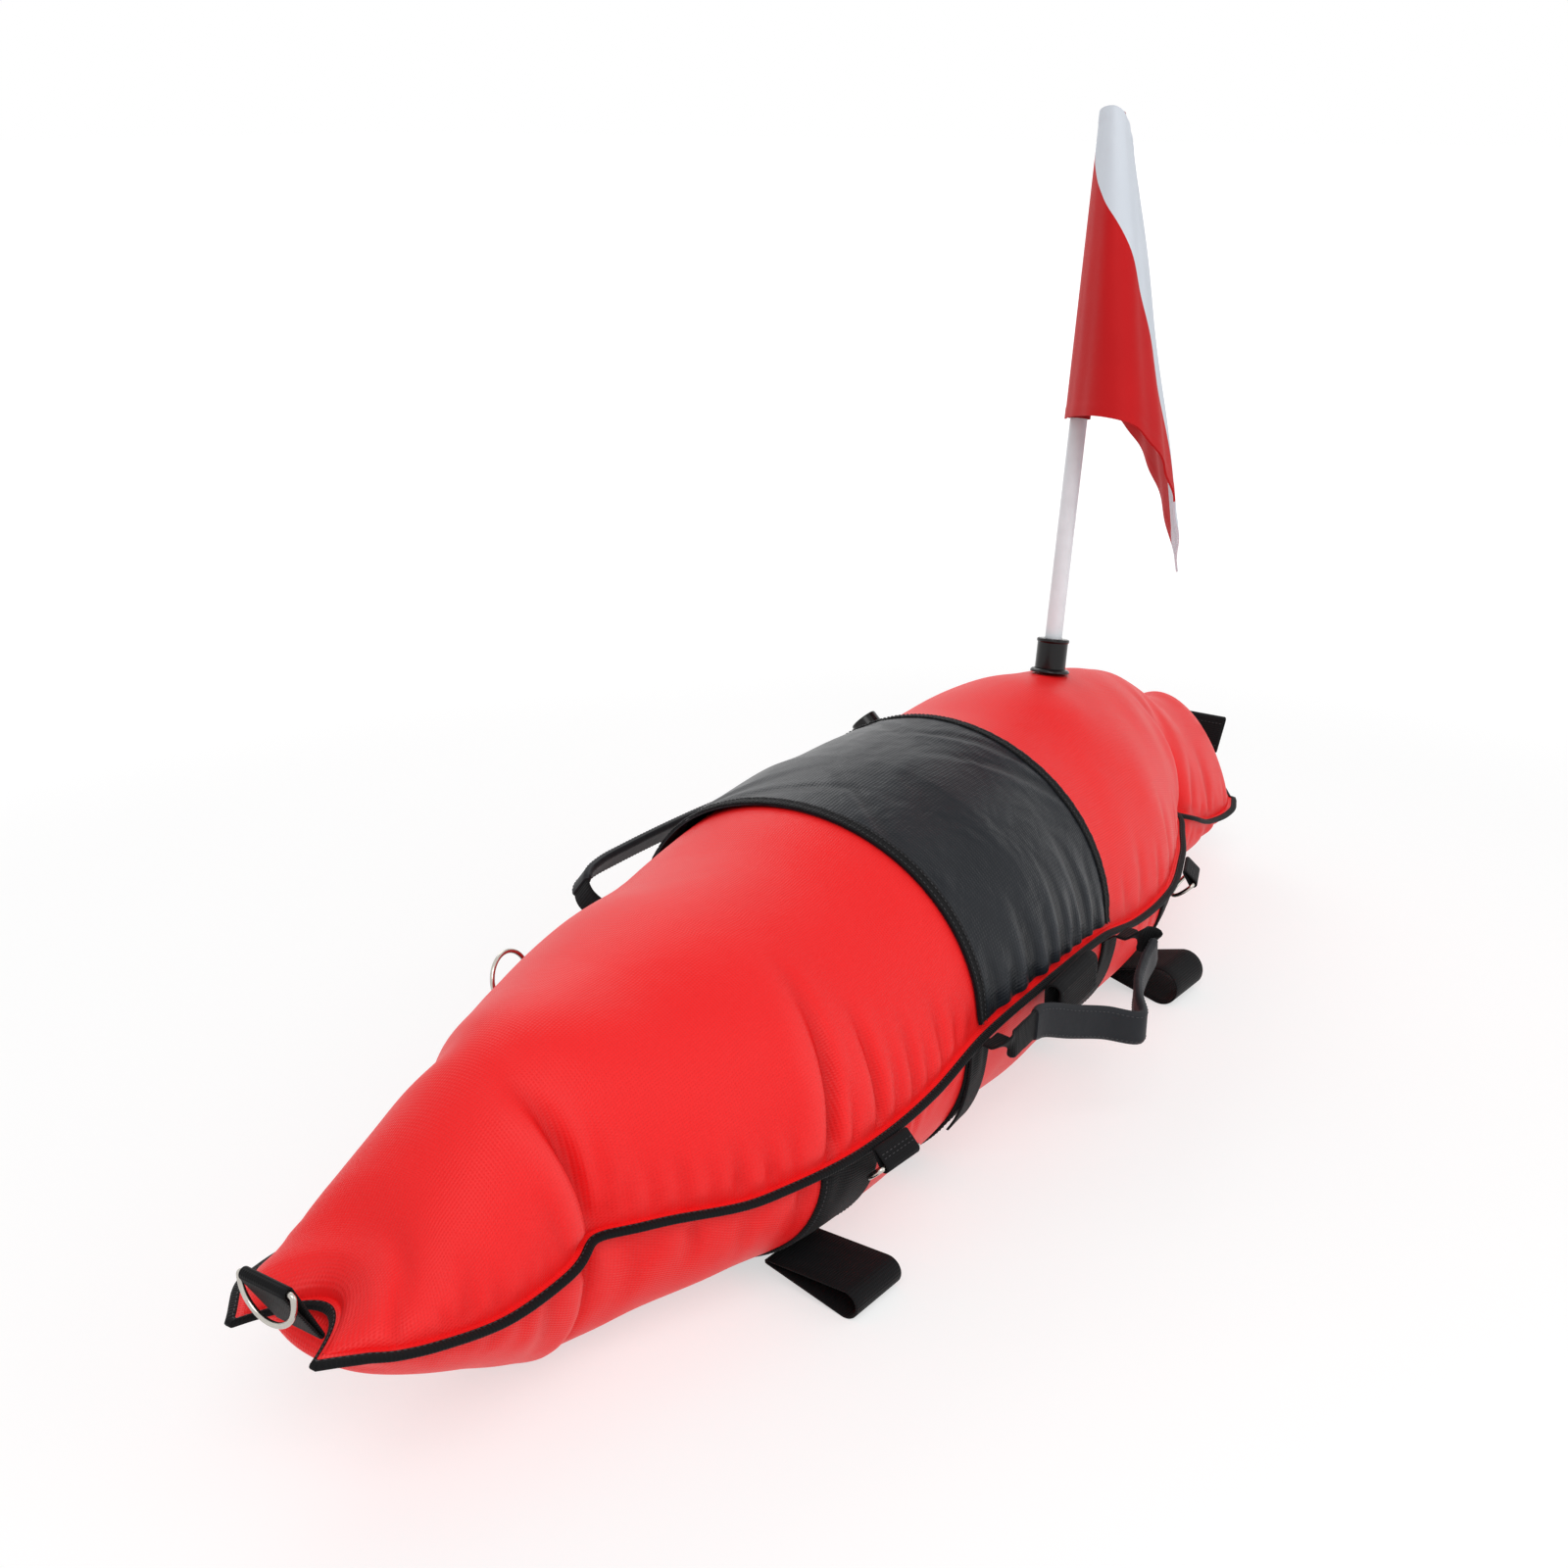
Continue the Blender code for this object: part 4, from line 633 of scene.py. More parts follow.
def clothDisplacement(x, t, top):
    near, far = clothPlaces(x, t, top)
    moved = clothFolds(x, t, top) + ripple(x, near, puckers["seeds"][top])
    if top:
        fullness = np.exp(-((x - sternFill["place"]) / sternFill["spread"]) ** 2)
        share = (t - sternFill["start"]) / sternFill["blend"]
        moved = moved + sternFill["depth"] * fullness * smoothStep(share)
    seams = smoothStep(near / bag["softEdge"]) * smoothStep(far / bag["softEdge"])
    return moved * seams * smoothStep((bag["halfLength"] - np.abs(x)) / bag["softEnd"])


def gridNormals(points, top):
    normals = unit(np.cross(np.gradient(points, axis=0), np.gradient(points, axis=1)))
    return normals if top else -normals


def skin(xs, ts, top):
    # grid of points and outward normals on the top or the belly
    x, t = np.meshgrid(np.asarray(xs, float), np.asarray(ts, float), indexing="ij")
    sine = np.sin(math.pi * t)
    y = -halfWidth(x) * np.cos(math.pi * t)
    if top:
        z = seamHeight(x, t) + gap / 2 + bag["fabric"] + crownHeight(x) * sine
    else:
        z = seamHeight(x, t) - gap / 2 - bag["fabric"] - bellyDepth(x) * sine ** bag["roundness"]
        z = np.maximum(z, bag["rest"])
    kept = 1.0 if top else 1 - bag["lipBulge"] * smoothStep(bag["lipBlend"] * tipRounding(x) * sine)
    points = np.stack((pulledIn(x, t, kept), y, z), -1)
    points = points + gridNormals(points, top) * clothDisplacement(x, t, top)[..., None]
    if not top:
        points[..., 2] = np.maximum(points[..., 2], bag["rest"])
    return points, gridNormals(points, top)


def skinSample(xs, ts, top):
    # the same points, read from one fine table, so that normals don't depend on the grid asked for
    fineX = np.linspace(-bag["halfLength"], bag["halfLength"], bag["tableRows"])
    if top not in skinTables:
        skinTables[top] = skin(fineX, np.linspace(0, 1, bag["tableAcross"]), top)
    x, t = np.meshgrid(np.asarray(xs, float), np.asarray(ts, float), indexing="ij")
    i = (x + bag["halfLength"]) / (fineX[1] - fineX[0])
    j = t * (bag["tableAcross"] - 1)
    i0 = np.clip(i.astype(int), 0, bag["tableRows"] - 2)
    j0 = np.clip(j.astype(int), 0, bag["tableAcross"] - 2)
    fi, fj = (i - i0)[..., None], (j - j0)[..., None]
    points, normals = ((1 - fi) * (1 - fj) * table[i0, j0] + fi * (1 - fj) * table[i0 + 1, j0]
                       + (1 - fi) * fj * table[i0, j0 + 1] + fi * fj * table[i0 + 1, j0 + 1]
                       for table in skinTables[top])
    return points, unit(normals)


skinTables = {}


def clothUv(xs, points):
    # metres along the bag and over it, for both faces of a sheet
    x = np.broadcast_to(np.asarray(xs, float)[:, None], points.shape[:2])
    steps = np.linalg.norm(np.diff(points, axis=1), axis=-1)
    run = np.hstack((np.zeros((len(xs), 1)), np.cumsum(steps, axis=1)))
    uv = np.stack((x, run - run[:, -1:] / 2), -1).reshape(-1, 2)
    return np.concatenate((uv, uv))


def sheetOn(name, xs, ts, top, inner, outer, material, node, sharp=60, folds=None):
    # cloth or webbing that lies on the bag between two stand-offs
    points, normals = skinSample(xs, ts, top)
    sides = []
    for stand in (outer, inner):
        side = points + normals * np.broadcast_to(stand, points.shape[:2])[..., None]
        side[..., 2] = np.maximum(side[..., 2], gap)
        sides.append(side)
    return makePiece(name, *shell(*sides), material, "float_bag", node, uv=clothUv(xs, points), sharp=sharp,
                     folds=folds)


panelGrid = {"reach": 0.50, "rows": 390, "tip": 0.035, "tipRows": 20, "tipGrowth": 1.6, "across": 105,
             "seamStrip": 0.003, "sharp": 75}


def buildPanels():
    middle = np.linspace(-panelGrid["reach"], panelGrid["reach"], panelGrid["rows"])
    closer = np.linspace(0, 1, panelGrid["tipRows"])[:-1] ** panelGrid["tipGrowth"]
    tip = bag["halfLength"] - panelGrid["tip"] * closer
    xs = np.unique(np.concatenate((-tip, middle, tip)))
    strips = (panelGrid["seamStrip"], 1 - panelGrid["seamStrip"])
    ts = np.unique(np.concatenate((np.linspace(0, 1, panelGrid["across"]), strips)))
    for name, node, top in (("top_cover", "top_panel", True), ("belly_cover", "bottom_panel", False)):
        points, normals = skin(xs, ts, top)
        # the crease field, scaled, is the mask for painted shade in the valleys and painted highlight on the
        # ridges
        folds = clothFolds(*np.meshgrid(xs, ts, indexing="ij"), top) / bag["paintedFoldLightScale"]
        makePiece(name, *shell(points, points - normals * bag["fabric"]), "bagRed", "float_bag", node,
                  uv=clothUv(xs, points), sharp=panelGrid["sharp"], folds=folds)
    print("bag panels made")


# Inner bladder, slim enough to stay clear of the creases
liner = {"inset": 0.016, "reach": 0.45, "rows": 90, "around": 40, "least": 0.002}


def buildLiner():
    along = np.linspace(-liner["reach"], liner["reach"], liner["rows"])
    x, t = np.meshgrid(along, np.linspace(0, 1, liner["around"]), indexing="ij")
    inset, least = liner["inset"], liner["least"]
    y = -(halfWidth(x) - inset) * np.cos(math.pi * t)
    sine = np.sin(math.pi * t)
    upper = seamHeight(x, t) + np.maximum(crownHeight(x) - inset, least) * sine
    lower = seamHeight(x, t) - np.maximum(bellyDepth(x) - inset, least) * sine ** bag["roundness"]
    lower = np.maximum(lower, bag["rest"] + inset / 2)
    over, under = (np.stack((pulledIn(x, t), y, z), -1) for z in (upper, lower))
    rings = np.concatenate((over, under[:, -2:0:-1]), axis=1)
    makePiece("bladder_skin", *tube(rings), "bladderFilm", "float_bag", "inner_bladder")
    print("bladder made")


# Binding tape over the seam, with the cloth's own lip under it
binding = {"lip": 0.0075, "tape": 0.0006, "half": 0.00205, "weltIn": 0.0012, "weltOut": 0.0042, "start": 0.0034,
           "weltShare": 0.72, "stitchInset": 0.0046, "flat": 0.005, "edge": 0.0003, "shoulder": 0.0018,
           "nose": 0.0006, "riseShares": (0.84, 1.0, 1.0, 0.94, 0.66), "alongRows": 420, "endRows": 60,
           "sharp": 70, "leastTurn": 0.8}
bindingFace = binding["lip"] + gap + binding["tape"]


def seamLine():
    # the seam's plan, outward direction and height, once round the bag
    ends, count = bag["halfLength"], binding["endRows"]
    along = np.linspace(-ends, ends, binding["alongRows"])
    across = 0.5 - 0.5 * np.cos(np.linspace(0, math.pi, count))
    sides = [(along, np.zeros_like(along)), (np.full(count, ends), across),
             (along[::-1], np.ones_like(along)), (np.full(count, -ends), across[::-1])]
    x, t = (np.concatenate([side[k][:-1] for side in sides]) for k in (0, 1))
    plan = np.stack((pulledIn(x, t), -halfWidth(x) * np.cos(math.pi * t)), -1)
    straight = np.stack((x, plan[:, 1]), -1)
    steps = [unit(straight - np.roll(straight, 1, axis=0)), unit(np.roll(straight, -1, axis=0) - straight)]
    first, second = (np.stack((step[:, 1], -step[:, 0]), -1) for step in steps)
    normal = unit(first + second)
    for _ in range(3):
        normal = 0.25 * np.roll(normal, 1, axis=0) + 0.5 * normal + 0.25 * np.roll(normal, -1, axis=0)
    reach = 1.0 / np.maximum(np.sum(normal * first, axis=1), binding["leastTurn"])
    return plan, normal * reach[:, None], seamHeight(x, t)


def buildBinding():
    plan, normal, height = seamLine()
    half, face, start = binding["half"], bindingFace, binding["start"]
    path = np.column_stack((plan, height))
    wide = np.column_stack((normal, np.zeros(len(normal))))
    upright = np.tile((0.0, 0.0, 1.0), (len(path), 1))
    places = (start, start + binding["edge"], binding["flat"], face - binding["shoulder"],
              face - binding["nose"])
    upper = [(a, half * share) for a, share in zip(places, binding["riseShares"])]
    tape = upper + [(face, 0.0)] + [(a, -b) for a, b in upper[::-1]]
    low, high, rise = -binding["weltIn"], binding["weltOut"], half * binding["weltShare"]
    lip = [(a, rise) for a in (low, (low + high) / 2, high)]
    lip += [(a, -b) for a, b in lip[::-1]]
    for name, outline, material, nodes in (("binding_tape", tape, "webbingBlack", ["seam_binding"]),
                                           ("seam_welt", lip, "bagRed", [])):
        sweep(name, path, wide, upright, np.array(outline), material, "float_bag", *nodes, closedPath=True,
              sharp=binding["sharp"])
    print("binding made")
    return [path + wide * binding["stitchInset"] + upright * side * half for side in (1, -1)]


# Stitches, one small capsule after another along a line
stitch = {"pitch": 0.0034, "thickness": 0.00036, "stretch": 3.2, "segments": 6, "rings": 4, "marks": 12}


# Webbing and cloth sewn to the bag
girdle = {"centre": 0.010, "spacing": 0.235, "width": 0.050, "fabric": 0.0018, "handleSpacing": 0.0995,
          "handleWidth": 0.025, "firstShare": 0.012, "stitchInset": 0.0028, "rows": 9, "edgeShare": 0.6,
          "leastShare": 0.35, "outerShare": 0.4, "across": 120, "tailFabric": 0.0016, "tailStand": 0.002,
          "tailShare": 0.16, "tailEdge": 0.001, "tailAcross": 40}


def edgeInset(count, inset, span):
    # row places that give a strip a soft rounded edge
    outer = inset * girdle["outerShare"]
    middle = np.linspace(inset, span - inset, count)
    return np.concatenate(((0.0, outer), middle, (span - outer, span)))


def rounded(places, span, thickness):
    # thickness that falls off over the last bit of a strip's width
    edge = np.clip(np.minimum(places, span - places) / (girdle["edgeShare"] * thickness), 0, 1)
    least = girdle["leastShare"]
    return (thickness * (least + (1 - least) * np.sqrt(1 - (1 - edge) ** 2)))[:, None]


def beltOn(name, node, centre, width, ts, stand, fabric, inset):
    places = edgeInset(girdle["rows"], inset, width)
    sheetOn(name, centre - width / 2 + places, ts, False, stand, stand + rounded(places, width, fabric),
            "webbingBlack", node)


def edgeLine(x, ts, top, stand):
    points, normals = skinSample([x], ts, top)
    line = points[0] + normals[0] * stand
    line[:, 2] = np.maximum(line[:, 2], 2 * stitch["thickness"])
    return line


def buildBelts():
    lines = []
    first, fabric = girdle["firstShare"], girdle["fabric"]
    ts = np.linspace(first, 1 - first, girdle["across"])
    for name, side in (("front", -1), ("rear", 1)):
        for kind, spacing, width in (("girth", girdle["spacing"], girdle["width"]),
                                     ("handle", girdle["handleSpacing"], girdle["handleWidth"])):
            centre = girdle["centre"] + side * spacing
            beltOn(f"{name}_{kind}_webbing", f"{name}_{kind}_strap", centre, width, ts, gap, fabric,
                   fabric * girdle["edgeShare"])
            for inset in (girdle["stitchInset"], width - girdle["stitchInset"]):
                lines.append(edgeLine(centre - width / 2 + inset, ts, False, gap + fabric))
    ts = np.linspace(first, girdle["tailShare"], girdle["tailAcross"])
    stand = 2 * gap + fabric + girdle["tailStand"] * smoothStep(ts / ts[-1])
    beltOn("strap_tail_webbing", "strap_tail", girdle["centre"] - girdle["handleSpacing"],
           girdle["handleWidth"], ts, stand[None, :], girdle["tailFabric"], girdle["tailEdge"])
    print("belts made")
    return lines


# Creases in the wear panel, in the same terms
panelCreases = [
    (-0.070, 0.0, -0.066, 0.060, 0.0060, 0.0018), (-0.044, 0.0, -0.042, 0.046, 0.0055, 0.0016),
    (-0.020, 0.0, -0.024, 0.080, 0.0070, 0.0026), (0.004, 0.0, 0.001, 0.056, 0.0060, 0.0020),
    (0.024, 0.0, 0.026, 0.092, 0.0070, 0.0028), (0.046, 0.0, 0.044, 0.060, 0.0060, 0.0022),
    (0.062, 0.0, 0.058, 0.104, 0.0070, 0.0028), (0.080, 0.0, 0.082, 0.070, 0.0060, 0.0020),
    (0.094, 0.11, 0.030, 0.19, 0.0055, 0.0012), (0.096, 0.14, 0.050, 0.24, 0.0050, 0.0011),
    (-0.070, 0.15, -0.020, 0.22, 0.0055, 0.0011),
]
wear = {"length": 0.194, "fabric": 0.0012, "stand": 0.004, "bulgePlace": 0.75, "bulgeShare": 0.143, "rows": 110,
        "across": 200, "hemRows": 6, "hemFabric": 0.0010, "hemEdge": 0.0008, "hemGrid": 7, "hemInset": 0.002,
        "hemWaves": (290, 117), "hemUneven": 0.25, "farShift": 0.02, "endFade": 0.02, "seamFade": 0.006,
        "lift": 0.0006, "paintedFoldLightScale": 0.002, "sharp": 75}


def buildWearPanel():
    half, centre, first = wear["length"] / 2, girdle["centre"], girdle["firstShare"]
    xs = np.linspace(centre - half, centre + half, wear["rows"])
    ts = np.linspace(first, 1 - first, wear["across"])
    x, t = np.meshgrid(xs, ts, indexing="ij")
    near, far = clothPlaces(x, t, True)
    folds = creaseField(x, near, panelCreases) + creaseField(-x + wear["farShift"], far, panelCreases)
    folds = folds * smoothStep((half - np.abs(x - centre)) / wear["endFade"])
    folds = folds * smoothStep(near / wear["seamFade"])
    towardsBow = smoothStep((centre + half - x) / (2 * half))
    bulge = np.exp(-((t - wear["bulgePlace"]) / wear["bulgeShare"]) ** 2)
    stand = gap + wear["stand"] * towardsBow * bulge + np.maximum(folds + wear["lift"], 0)
    face = stand + wear["fabric"]
    # the same creases, scaled, are the mask for painted shade and painted highlight on the panel
    sheetOn("wear_cloth", xs, ts, True, stand, face, "panelCloth", "wear_panel", sharp=wear["sharp"],
            folds=folds / wear["paintedFoldLightScale"])
    lines = []
    for name, row in (("front", 0), ("rear", wear["rows"] - wear["hemRows"])):
        start = xs[row]
        span = xs[row + wear["hemRows"] - 1] - start
        places = edgeInset(wear["hemGrid"], wear["hemEdge"], span)
        base = np.stack([np.interp(start + places, xs, column) for column in face.T], 1) + gap
        coarse, fine = wear["hemWaves"]
        uneven = 1 - wear["hemUneven"] * (1 - np.sin(ts * coarse) * np.sin(ts * fine + row))
        thick = rounded(places, span, wear["hemFabric"]) * uneven
        sheetOn(f"{name}_hem_tape", start + places, ts, True, base, base + thick, "webbingBlack",
                f"wear_panel_{name}_hem")
        for place in (start + wear["hemInset"], start + span - wear["hemInset"]):
            rise = np.array([np.interp(place, xs, column) for column in face.T]) + gap + wear["hemFabric"]
            lines.append(edgeLine(place, ts, True, rise[:, None]))
    print("wear panel made")
    return lines


# Frames on the seam
def frameAt(origin, outward):
    outward = Vector(outward).normalized()
    along = outward.cross(Vector((0, 0, 1))).normalized()
    return axesMatrix(along, outward, along.cross(outward), origin)


def levelFrame(origin, along):
    along = Vector(along).normalized()
    outward = Vector((0, 0, 1)).cross(along).normalized()
    return axesMatrix(along, outward, along.cross(outward), origin)


def tilted(place, angle):
    return place @ Matrix.Rotation(angle, 4, "X")


def widthAt(x):
    return float(halfWidth(np.array(x)))


def heightAt(x, t=0.0):
    return float(seamHeight(np.array(x), t))


def seamFrame(x, side):
    step = 0.0012
    slope = (widthAt(x + step) - widthAt(x - step)) / (2 * step)
    outward = Vector((-slope, side, 0)).normalized()
    return frameAt(Vector((x, side * widthAt(x), heightAt(x))) + bindingFace * outward, outward)


def endFrame(side, width, shift=0.0):
    x = side * bag["halfLength"]
    middle, edge = (math.acos(place / widthAt(x)) / math.pi for place in (shift, shift + width / 2))
    seam = Vector((float(pulledIn(np.array(x), edge)), -shift, heightAt(x, middle)))
    outward = Vector((side, 0, 0))
    return frameAt(seam + bindingFace * outward, outward)


def beltOutline(tailRadius, headRadius, distance, segments):
    # a band round two rollers, the tail's at the origin
    slope = math.asin((headRadius - tailRadius) / distance) if distance else 0.0
    turn = math.pi / 2 + slope
    rest = 2 * math.pi - 2 * turn
    head = [(-turn + 2 * turn * k / segments, distance, headRadius) for k in range(segments + 1)]
    tail = [(turn + rest * k / segments, 0.0, tailRadius) for k in range(segments + 1)]
    return [(centre + radius * math.cos(a), radius * math.sin(a)) for a, centre, radius in head + tail]


def closedSteps(line):
    return unit(np.roll(line, -1, axis=0) - np.roll(line, 1, axis=0))


def bandLoop(name, outline, width, fabric, place, body, node, count=120):
    # webbing in a closed loop of evenly spaced points, its width along the local X
    points = np.array(outline + outline[:1])
    run = runAlong(points)
    at = np.linspace(0, run[-1], count, endpoint=False)
    line = np.column_stack([np.interp(at, run, points[:, k]) for k in (0, 1)])
    step = closedSteps(line)
    path = placed(place, np.column_stack((np.zeros(count), line)))
    thick = turned(place, np.column_stack((np.zeros(count), step[:, 1], -step[:, 0])))
    wide = np.tile(turned(place, (1, 0, 0)), (count, 1))
    sweep(name, path, wide, thick, webProfile(width, fabric), "webbingBlack", body, node, closedPath=True)


tabs = {"fabric": 0.0014, "width": 0.031, "root": 0.0018, "wire": 0.0016, "clearance": 0.0004,
        "innerWidth": 0.034, "innerDrop": 0.019, "corner": 0.0022, "sideReach": 0.011,
        "sideDroop": math.radians(-52), "raisedReach": 0.022, "raisedRise": math.radians(68), "bowSewn": 0.0316,
        "frontBeyond": 0.022, "rearBeyond": 0.032, "bowReach": 0.038, "bowRise": math.radians(63),
        "sternReach": 0.029, "sternRise": math.radians(60), "sternWidth": 0.040, "sternShift": 0.027,
        "sternSewn": 0.006, "farRaise": math.radians(165), "nearTuck": math.radians(-45), "stitchInset": 0.0025,
        "stitchStart": 0.004, "stitchEndShare": 2.2, "proud": 0.0001, "rollSteps": 24, "wireSides": 16,
        "barPoints": 12, "cornerPoints": 7, "bowPoints": 41}


def webTab(name, root, reach, rise, width):
    # webbing folded round the ring's bar and sewn to the seam, with two rows of stitches
    place = tilted(root @ Matrix.Translation((0, gap + tabs["root"], 0)), rise)
    half = tabs["fabric"] / 2
    eye = tabs["wire"] + tabs["clearance"]
    outline = beltOutline(tabs["root"] - half, eye + half, reach, tabs["rollSteps"])
    bandLoop(f"{name}_web_tab", outline, width, tabs["fabric"], place, "float_bag", f"{name}_tab")
    inset = width / 2 - tabs["stitchInset"]
    low = tabs["root"] + tabs["proud"]
    across = np.linspace(-inset, inset, stitch["marks"])
    lines = []
    for along in (tabs["stitchStart"], reach - tabs["stitchEndShare"] * eye):
        height = low + (eye + tabs["fabric"] - low) * along / reach
        lines.append(placed(place, [(x, along, height) for x in across]))
    return place @ Matrix.Translation((0, reach, 0)), lines


def wireRing(name, bar, swing):
    # bent wire with a straight bar and a round bow
    half = tabs["innerWidth"] / 2 + tabs["wire"]
    drop = tabs["innerDrop"] + 2 * tabs["wire"] - half
    corner = tabs["corner"]
    path = [(x, 0.0) for x in np.linspace(-half + corner, half - corner, tabs["barPoints"])]
    turns = np.linspace(0, math.pi / 2, tabs["cornerPoints"])[1:]
    bow = np.linspace(0, math.pi, tabs["bowPoints"])
    path += [(half - corner + corner * math.sin(a), -corner + corner * math.cos(a)) for a in turns]
    path += [(half * math.cos(a), -drop - half * math.sin(a)) for a in bow]
    path += [(-half + corner - corner * math.sin(a), -corner + corner * math.cos(a)) for a in turns[::-1]]
    line = np.array([p for k, p in enumerate(path) if k == 0 or math.dist(p, path[k - 1]) > 1e-5])
    step, level = closedSteps(line), np.zeros(len(line))
    place = tilted(levelFrame(bar.translation, bar.to_3x3().col[0]), swing)
    around = np.linspace(0, 2 * math.pi, tabs["wireSides"], endpoint=False)
    sweep(f"{name}_wire_ring", placed(place, np.column_stack((line[:, 0], level, line[:, 1]))),
          turned(place, np.column_stack((step[:, 1], level, -step[:, 0]))),
          np.tile(turned(place, (0, 1, 0)), (len(line), 1)),
          np.column_stack((np.cos(around), np.sin(around))) * tabs["wire"], "steelWire", f"{name}_ring_body",
          f"{name}_ring", closedPath=True, sharp=80)


def buildTabs():
    lines = []
    for name, side, beyond in (("front", -1, tabs["frontBeyond"]), ("rear", 1, tabs["rearBeyond"])):
        x = girdle["centre"] + side * girdle["spacing"] + beyond
        for flank, across in (("near", -1), ("far", 1)):
            raised = side < 0 < across
            kind = ("raisedReach", "raisedRise") if raised else ("sideReach", "sideDroop")
            reach, rise = (tabs[key] for key in kind)
            bar, sewn = webTab(f"{name}_{flank}", seamFrame(x, across), reach, rise, tabs["width"])
            swing = tabs["nearTuck"] if across < 0 else tabs["farRaise"] if raised else 0.0
            wireRing(f"{name}_{flank}", bar, swing)
            lines += sewn
    bar, sewn = webTab("bow", endFrame(-1, tabs["bowSewn"]), tabs["bowReach"], tabs["bowRise"], tabs["width"])
    wireRing("bow", bar, 0.0)
    stern = endFrame(1, tabs["sternSewn"], tabs["sternShift"])
    lines += sewn + webTab("stern", stern, tabs["sternReach"], tabs["sternRise"], tabs["sternWidth"])[1]
    print("tabs and rings made")
    return lines


# Handles and side sleeves
handles = {"reach": 0.054, "drop": 0.022, "height": 0.020, "fabric": 0.0022, "grip": 0.0016,
           "farRaise": math.radians(38), "twist": (0.034, 0.10), "stand": 1.2, "gripShares": (0.20, 0.80),
           "steps": 10, "gripEnds": (0.90, 0.97, 1.0), "stitchInset": 0.0012, "sleeveLength": 0.062,
           "sleeveDepth": 0.012, "sleeveHeight": 0.030, "sleeveWall": 0.0016, "sleeveSink": 0.009,
           "sleeveInset": 0.003, "sleeveSteps": 16, "sleevePoints": 64, "proud": 0.0001}
handleShares = {  # (along, out, down) from root to root
    "near": ((0.50, 0.00, 0.00), (0.50, 0.25, 0.00), (0.41, 0.27, -0.04), (0.28, 0.26, 0.04),
             (0.15, 0.44, 0.44), (0.04, 0.67, 0.72), (-0.055, 1.00, 1.00), (-0.165, 0.79, 0.88),
             (-0.28, 0.60, 0.80), (-0.41, 0.48, 0.64), (-0.50, 0.44, 0.44), (-0.54, 0.38, 0.22),
             (-0.50, 0.25, 0.04), (-0.50, 0.00, 0.00)),
    "far": ((0.50, 0.00, 0.00), (0.50, 0.30, 0.00), (0.51, 0.62, 0.00), (0.48, 0.87, 0.00),
            (0.39, 0.98, 0.00), (0.22, 1.01, 0.00), (0.05, 1.02, 0.00), (-0.12, 1.02, 0.00),
            (-0.28, 1.01, 0.00), (-0.41, 0.99, 0.00), (-0.51, 0.90, 0.00), (-0.555, 0.66, 0.00),
            (-0.53, 0.30, 0.00), (-0.50, 0.00, 0.00)),
}


def handleFrame(side):
    stand = bindingFace + 2 * gap + handles["stand"] * handles["fabric"] / 2
    places = [girdle["centre"] + end * girdle["handleSpacing"] for end in (-side, side)]
    first, last = (Vector((x, side * (widthAt(x) + stand), heightAt(x))) for x in places)
    return levelFrame((first + last) / 2, last - first)


def handleLine(shares):
    # smooth curve through all the marks
    span, steps = 2 * girdle["handleSpacing"], handles["steps"]
    marks = [Vector((a * span, b * handles["reach"], -c * handles["drop"])) for a, b, c in shares]
    marks = [2 * marks[0] - marks[1]] + marks + [2 * marks[-1] - marks[-2]]
    line = []
    for p0, p1, p2, p3 in zip(marks, marks[1:], marks[2:], marks[3:]):
        for s in (k / steps for k in range(steps)):
            line.append(0.5 * (2 * p1 + (p2 - p0) * s + (2 * p0 - 5 * p1 + 4 * p2 - p3) * s * s
                               + (3 * p1 - p0 - 3 * p2 + p3) * s ** 3))
    return line + [marks[-2]]


def handleSections(line):
    # the webbing lies flat at its roots and turns upright between them
    path, wide, thick = [], [], []
    last = len(line) - 1
    start, end = handles["twist"]
    for k, point in enumerate(line):
        tangent = (line[min(k + 1, last)] - line[max(k - 1, 0)]).normalized()
        if k in (0, last):
            tangent = Vector((0, 1 if k == 0 else -1, 0))
        share = k / last
        upright = float(smoothStep((min(share, 1 - share) - start) / (end - start)))
        level = tangent.cross(Vector((0, 0, 1))).normalized()
        rising = level.cross(tangent).normalized()
        turn = math.pi / 2 * (upright if share < 0.5 else 2 - upright)
        across = (math.cos(turn) * level + math.sin(turn) * rising).normalized()
        path.append(point)
        wide.append(across)
        thick.append(tangent.cross(across).normalized())
    return path, wide, thick


def buildHandle(prefix, side, lift):
    place = tilted(handleFrame(side), lift)
    path, wide, thick = handleSections(handleLine(handleShares[prefix]))
    path, wide, thick = placed(place, path), turned(place, wide), turned(place, thick)
    body, height, fabric = f"{prefix}_handle", handles["height"], handles["fabric"]
    sweep(f"{prefix}_handle_web", path, wide, thick, webProfile(height, fabric), "webbingBlack", body,
          f"{prefix}_handle_webbing")
    low, high = (round(share * (len(path) - 1)) for share in handles["gripShares"])
    path, wide, thick = (rows[low:high + 1] for rows in (path, wide, thick))
    grown = 2 * gap + 2 * handles["grip"]
    ends = handles["gripEnds"]
    swell = np.concatenate((ends, np.ones(len(path) - 2 * len(ends)), ends[::-1]))
    profile = webProfile(height + grown, fabric + grown, corner=0.5, across=9)
    sweep(f"{prefix}_grip_sleeve", path, wide, thick, profile, "gripCloth", body, f"{prefix}_handle_grip",
          sharp=60, swell=swell)
    path, wide, thick = (rows[2:-2] for rows in (path, wide, thick))
    inset, rise = height / 2 - handles["stitchInset"], (fabric + grown) / 2
    addStitches(f"{prefix}_grip_stitches", [path + wide * edge * inset + thick * face * rise
                                            for edge in (-1, 1) for face in (-1, 1)], body)


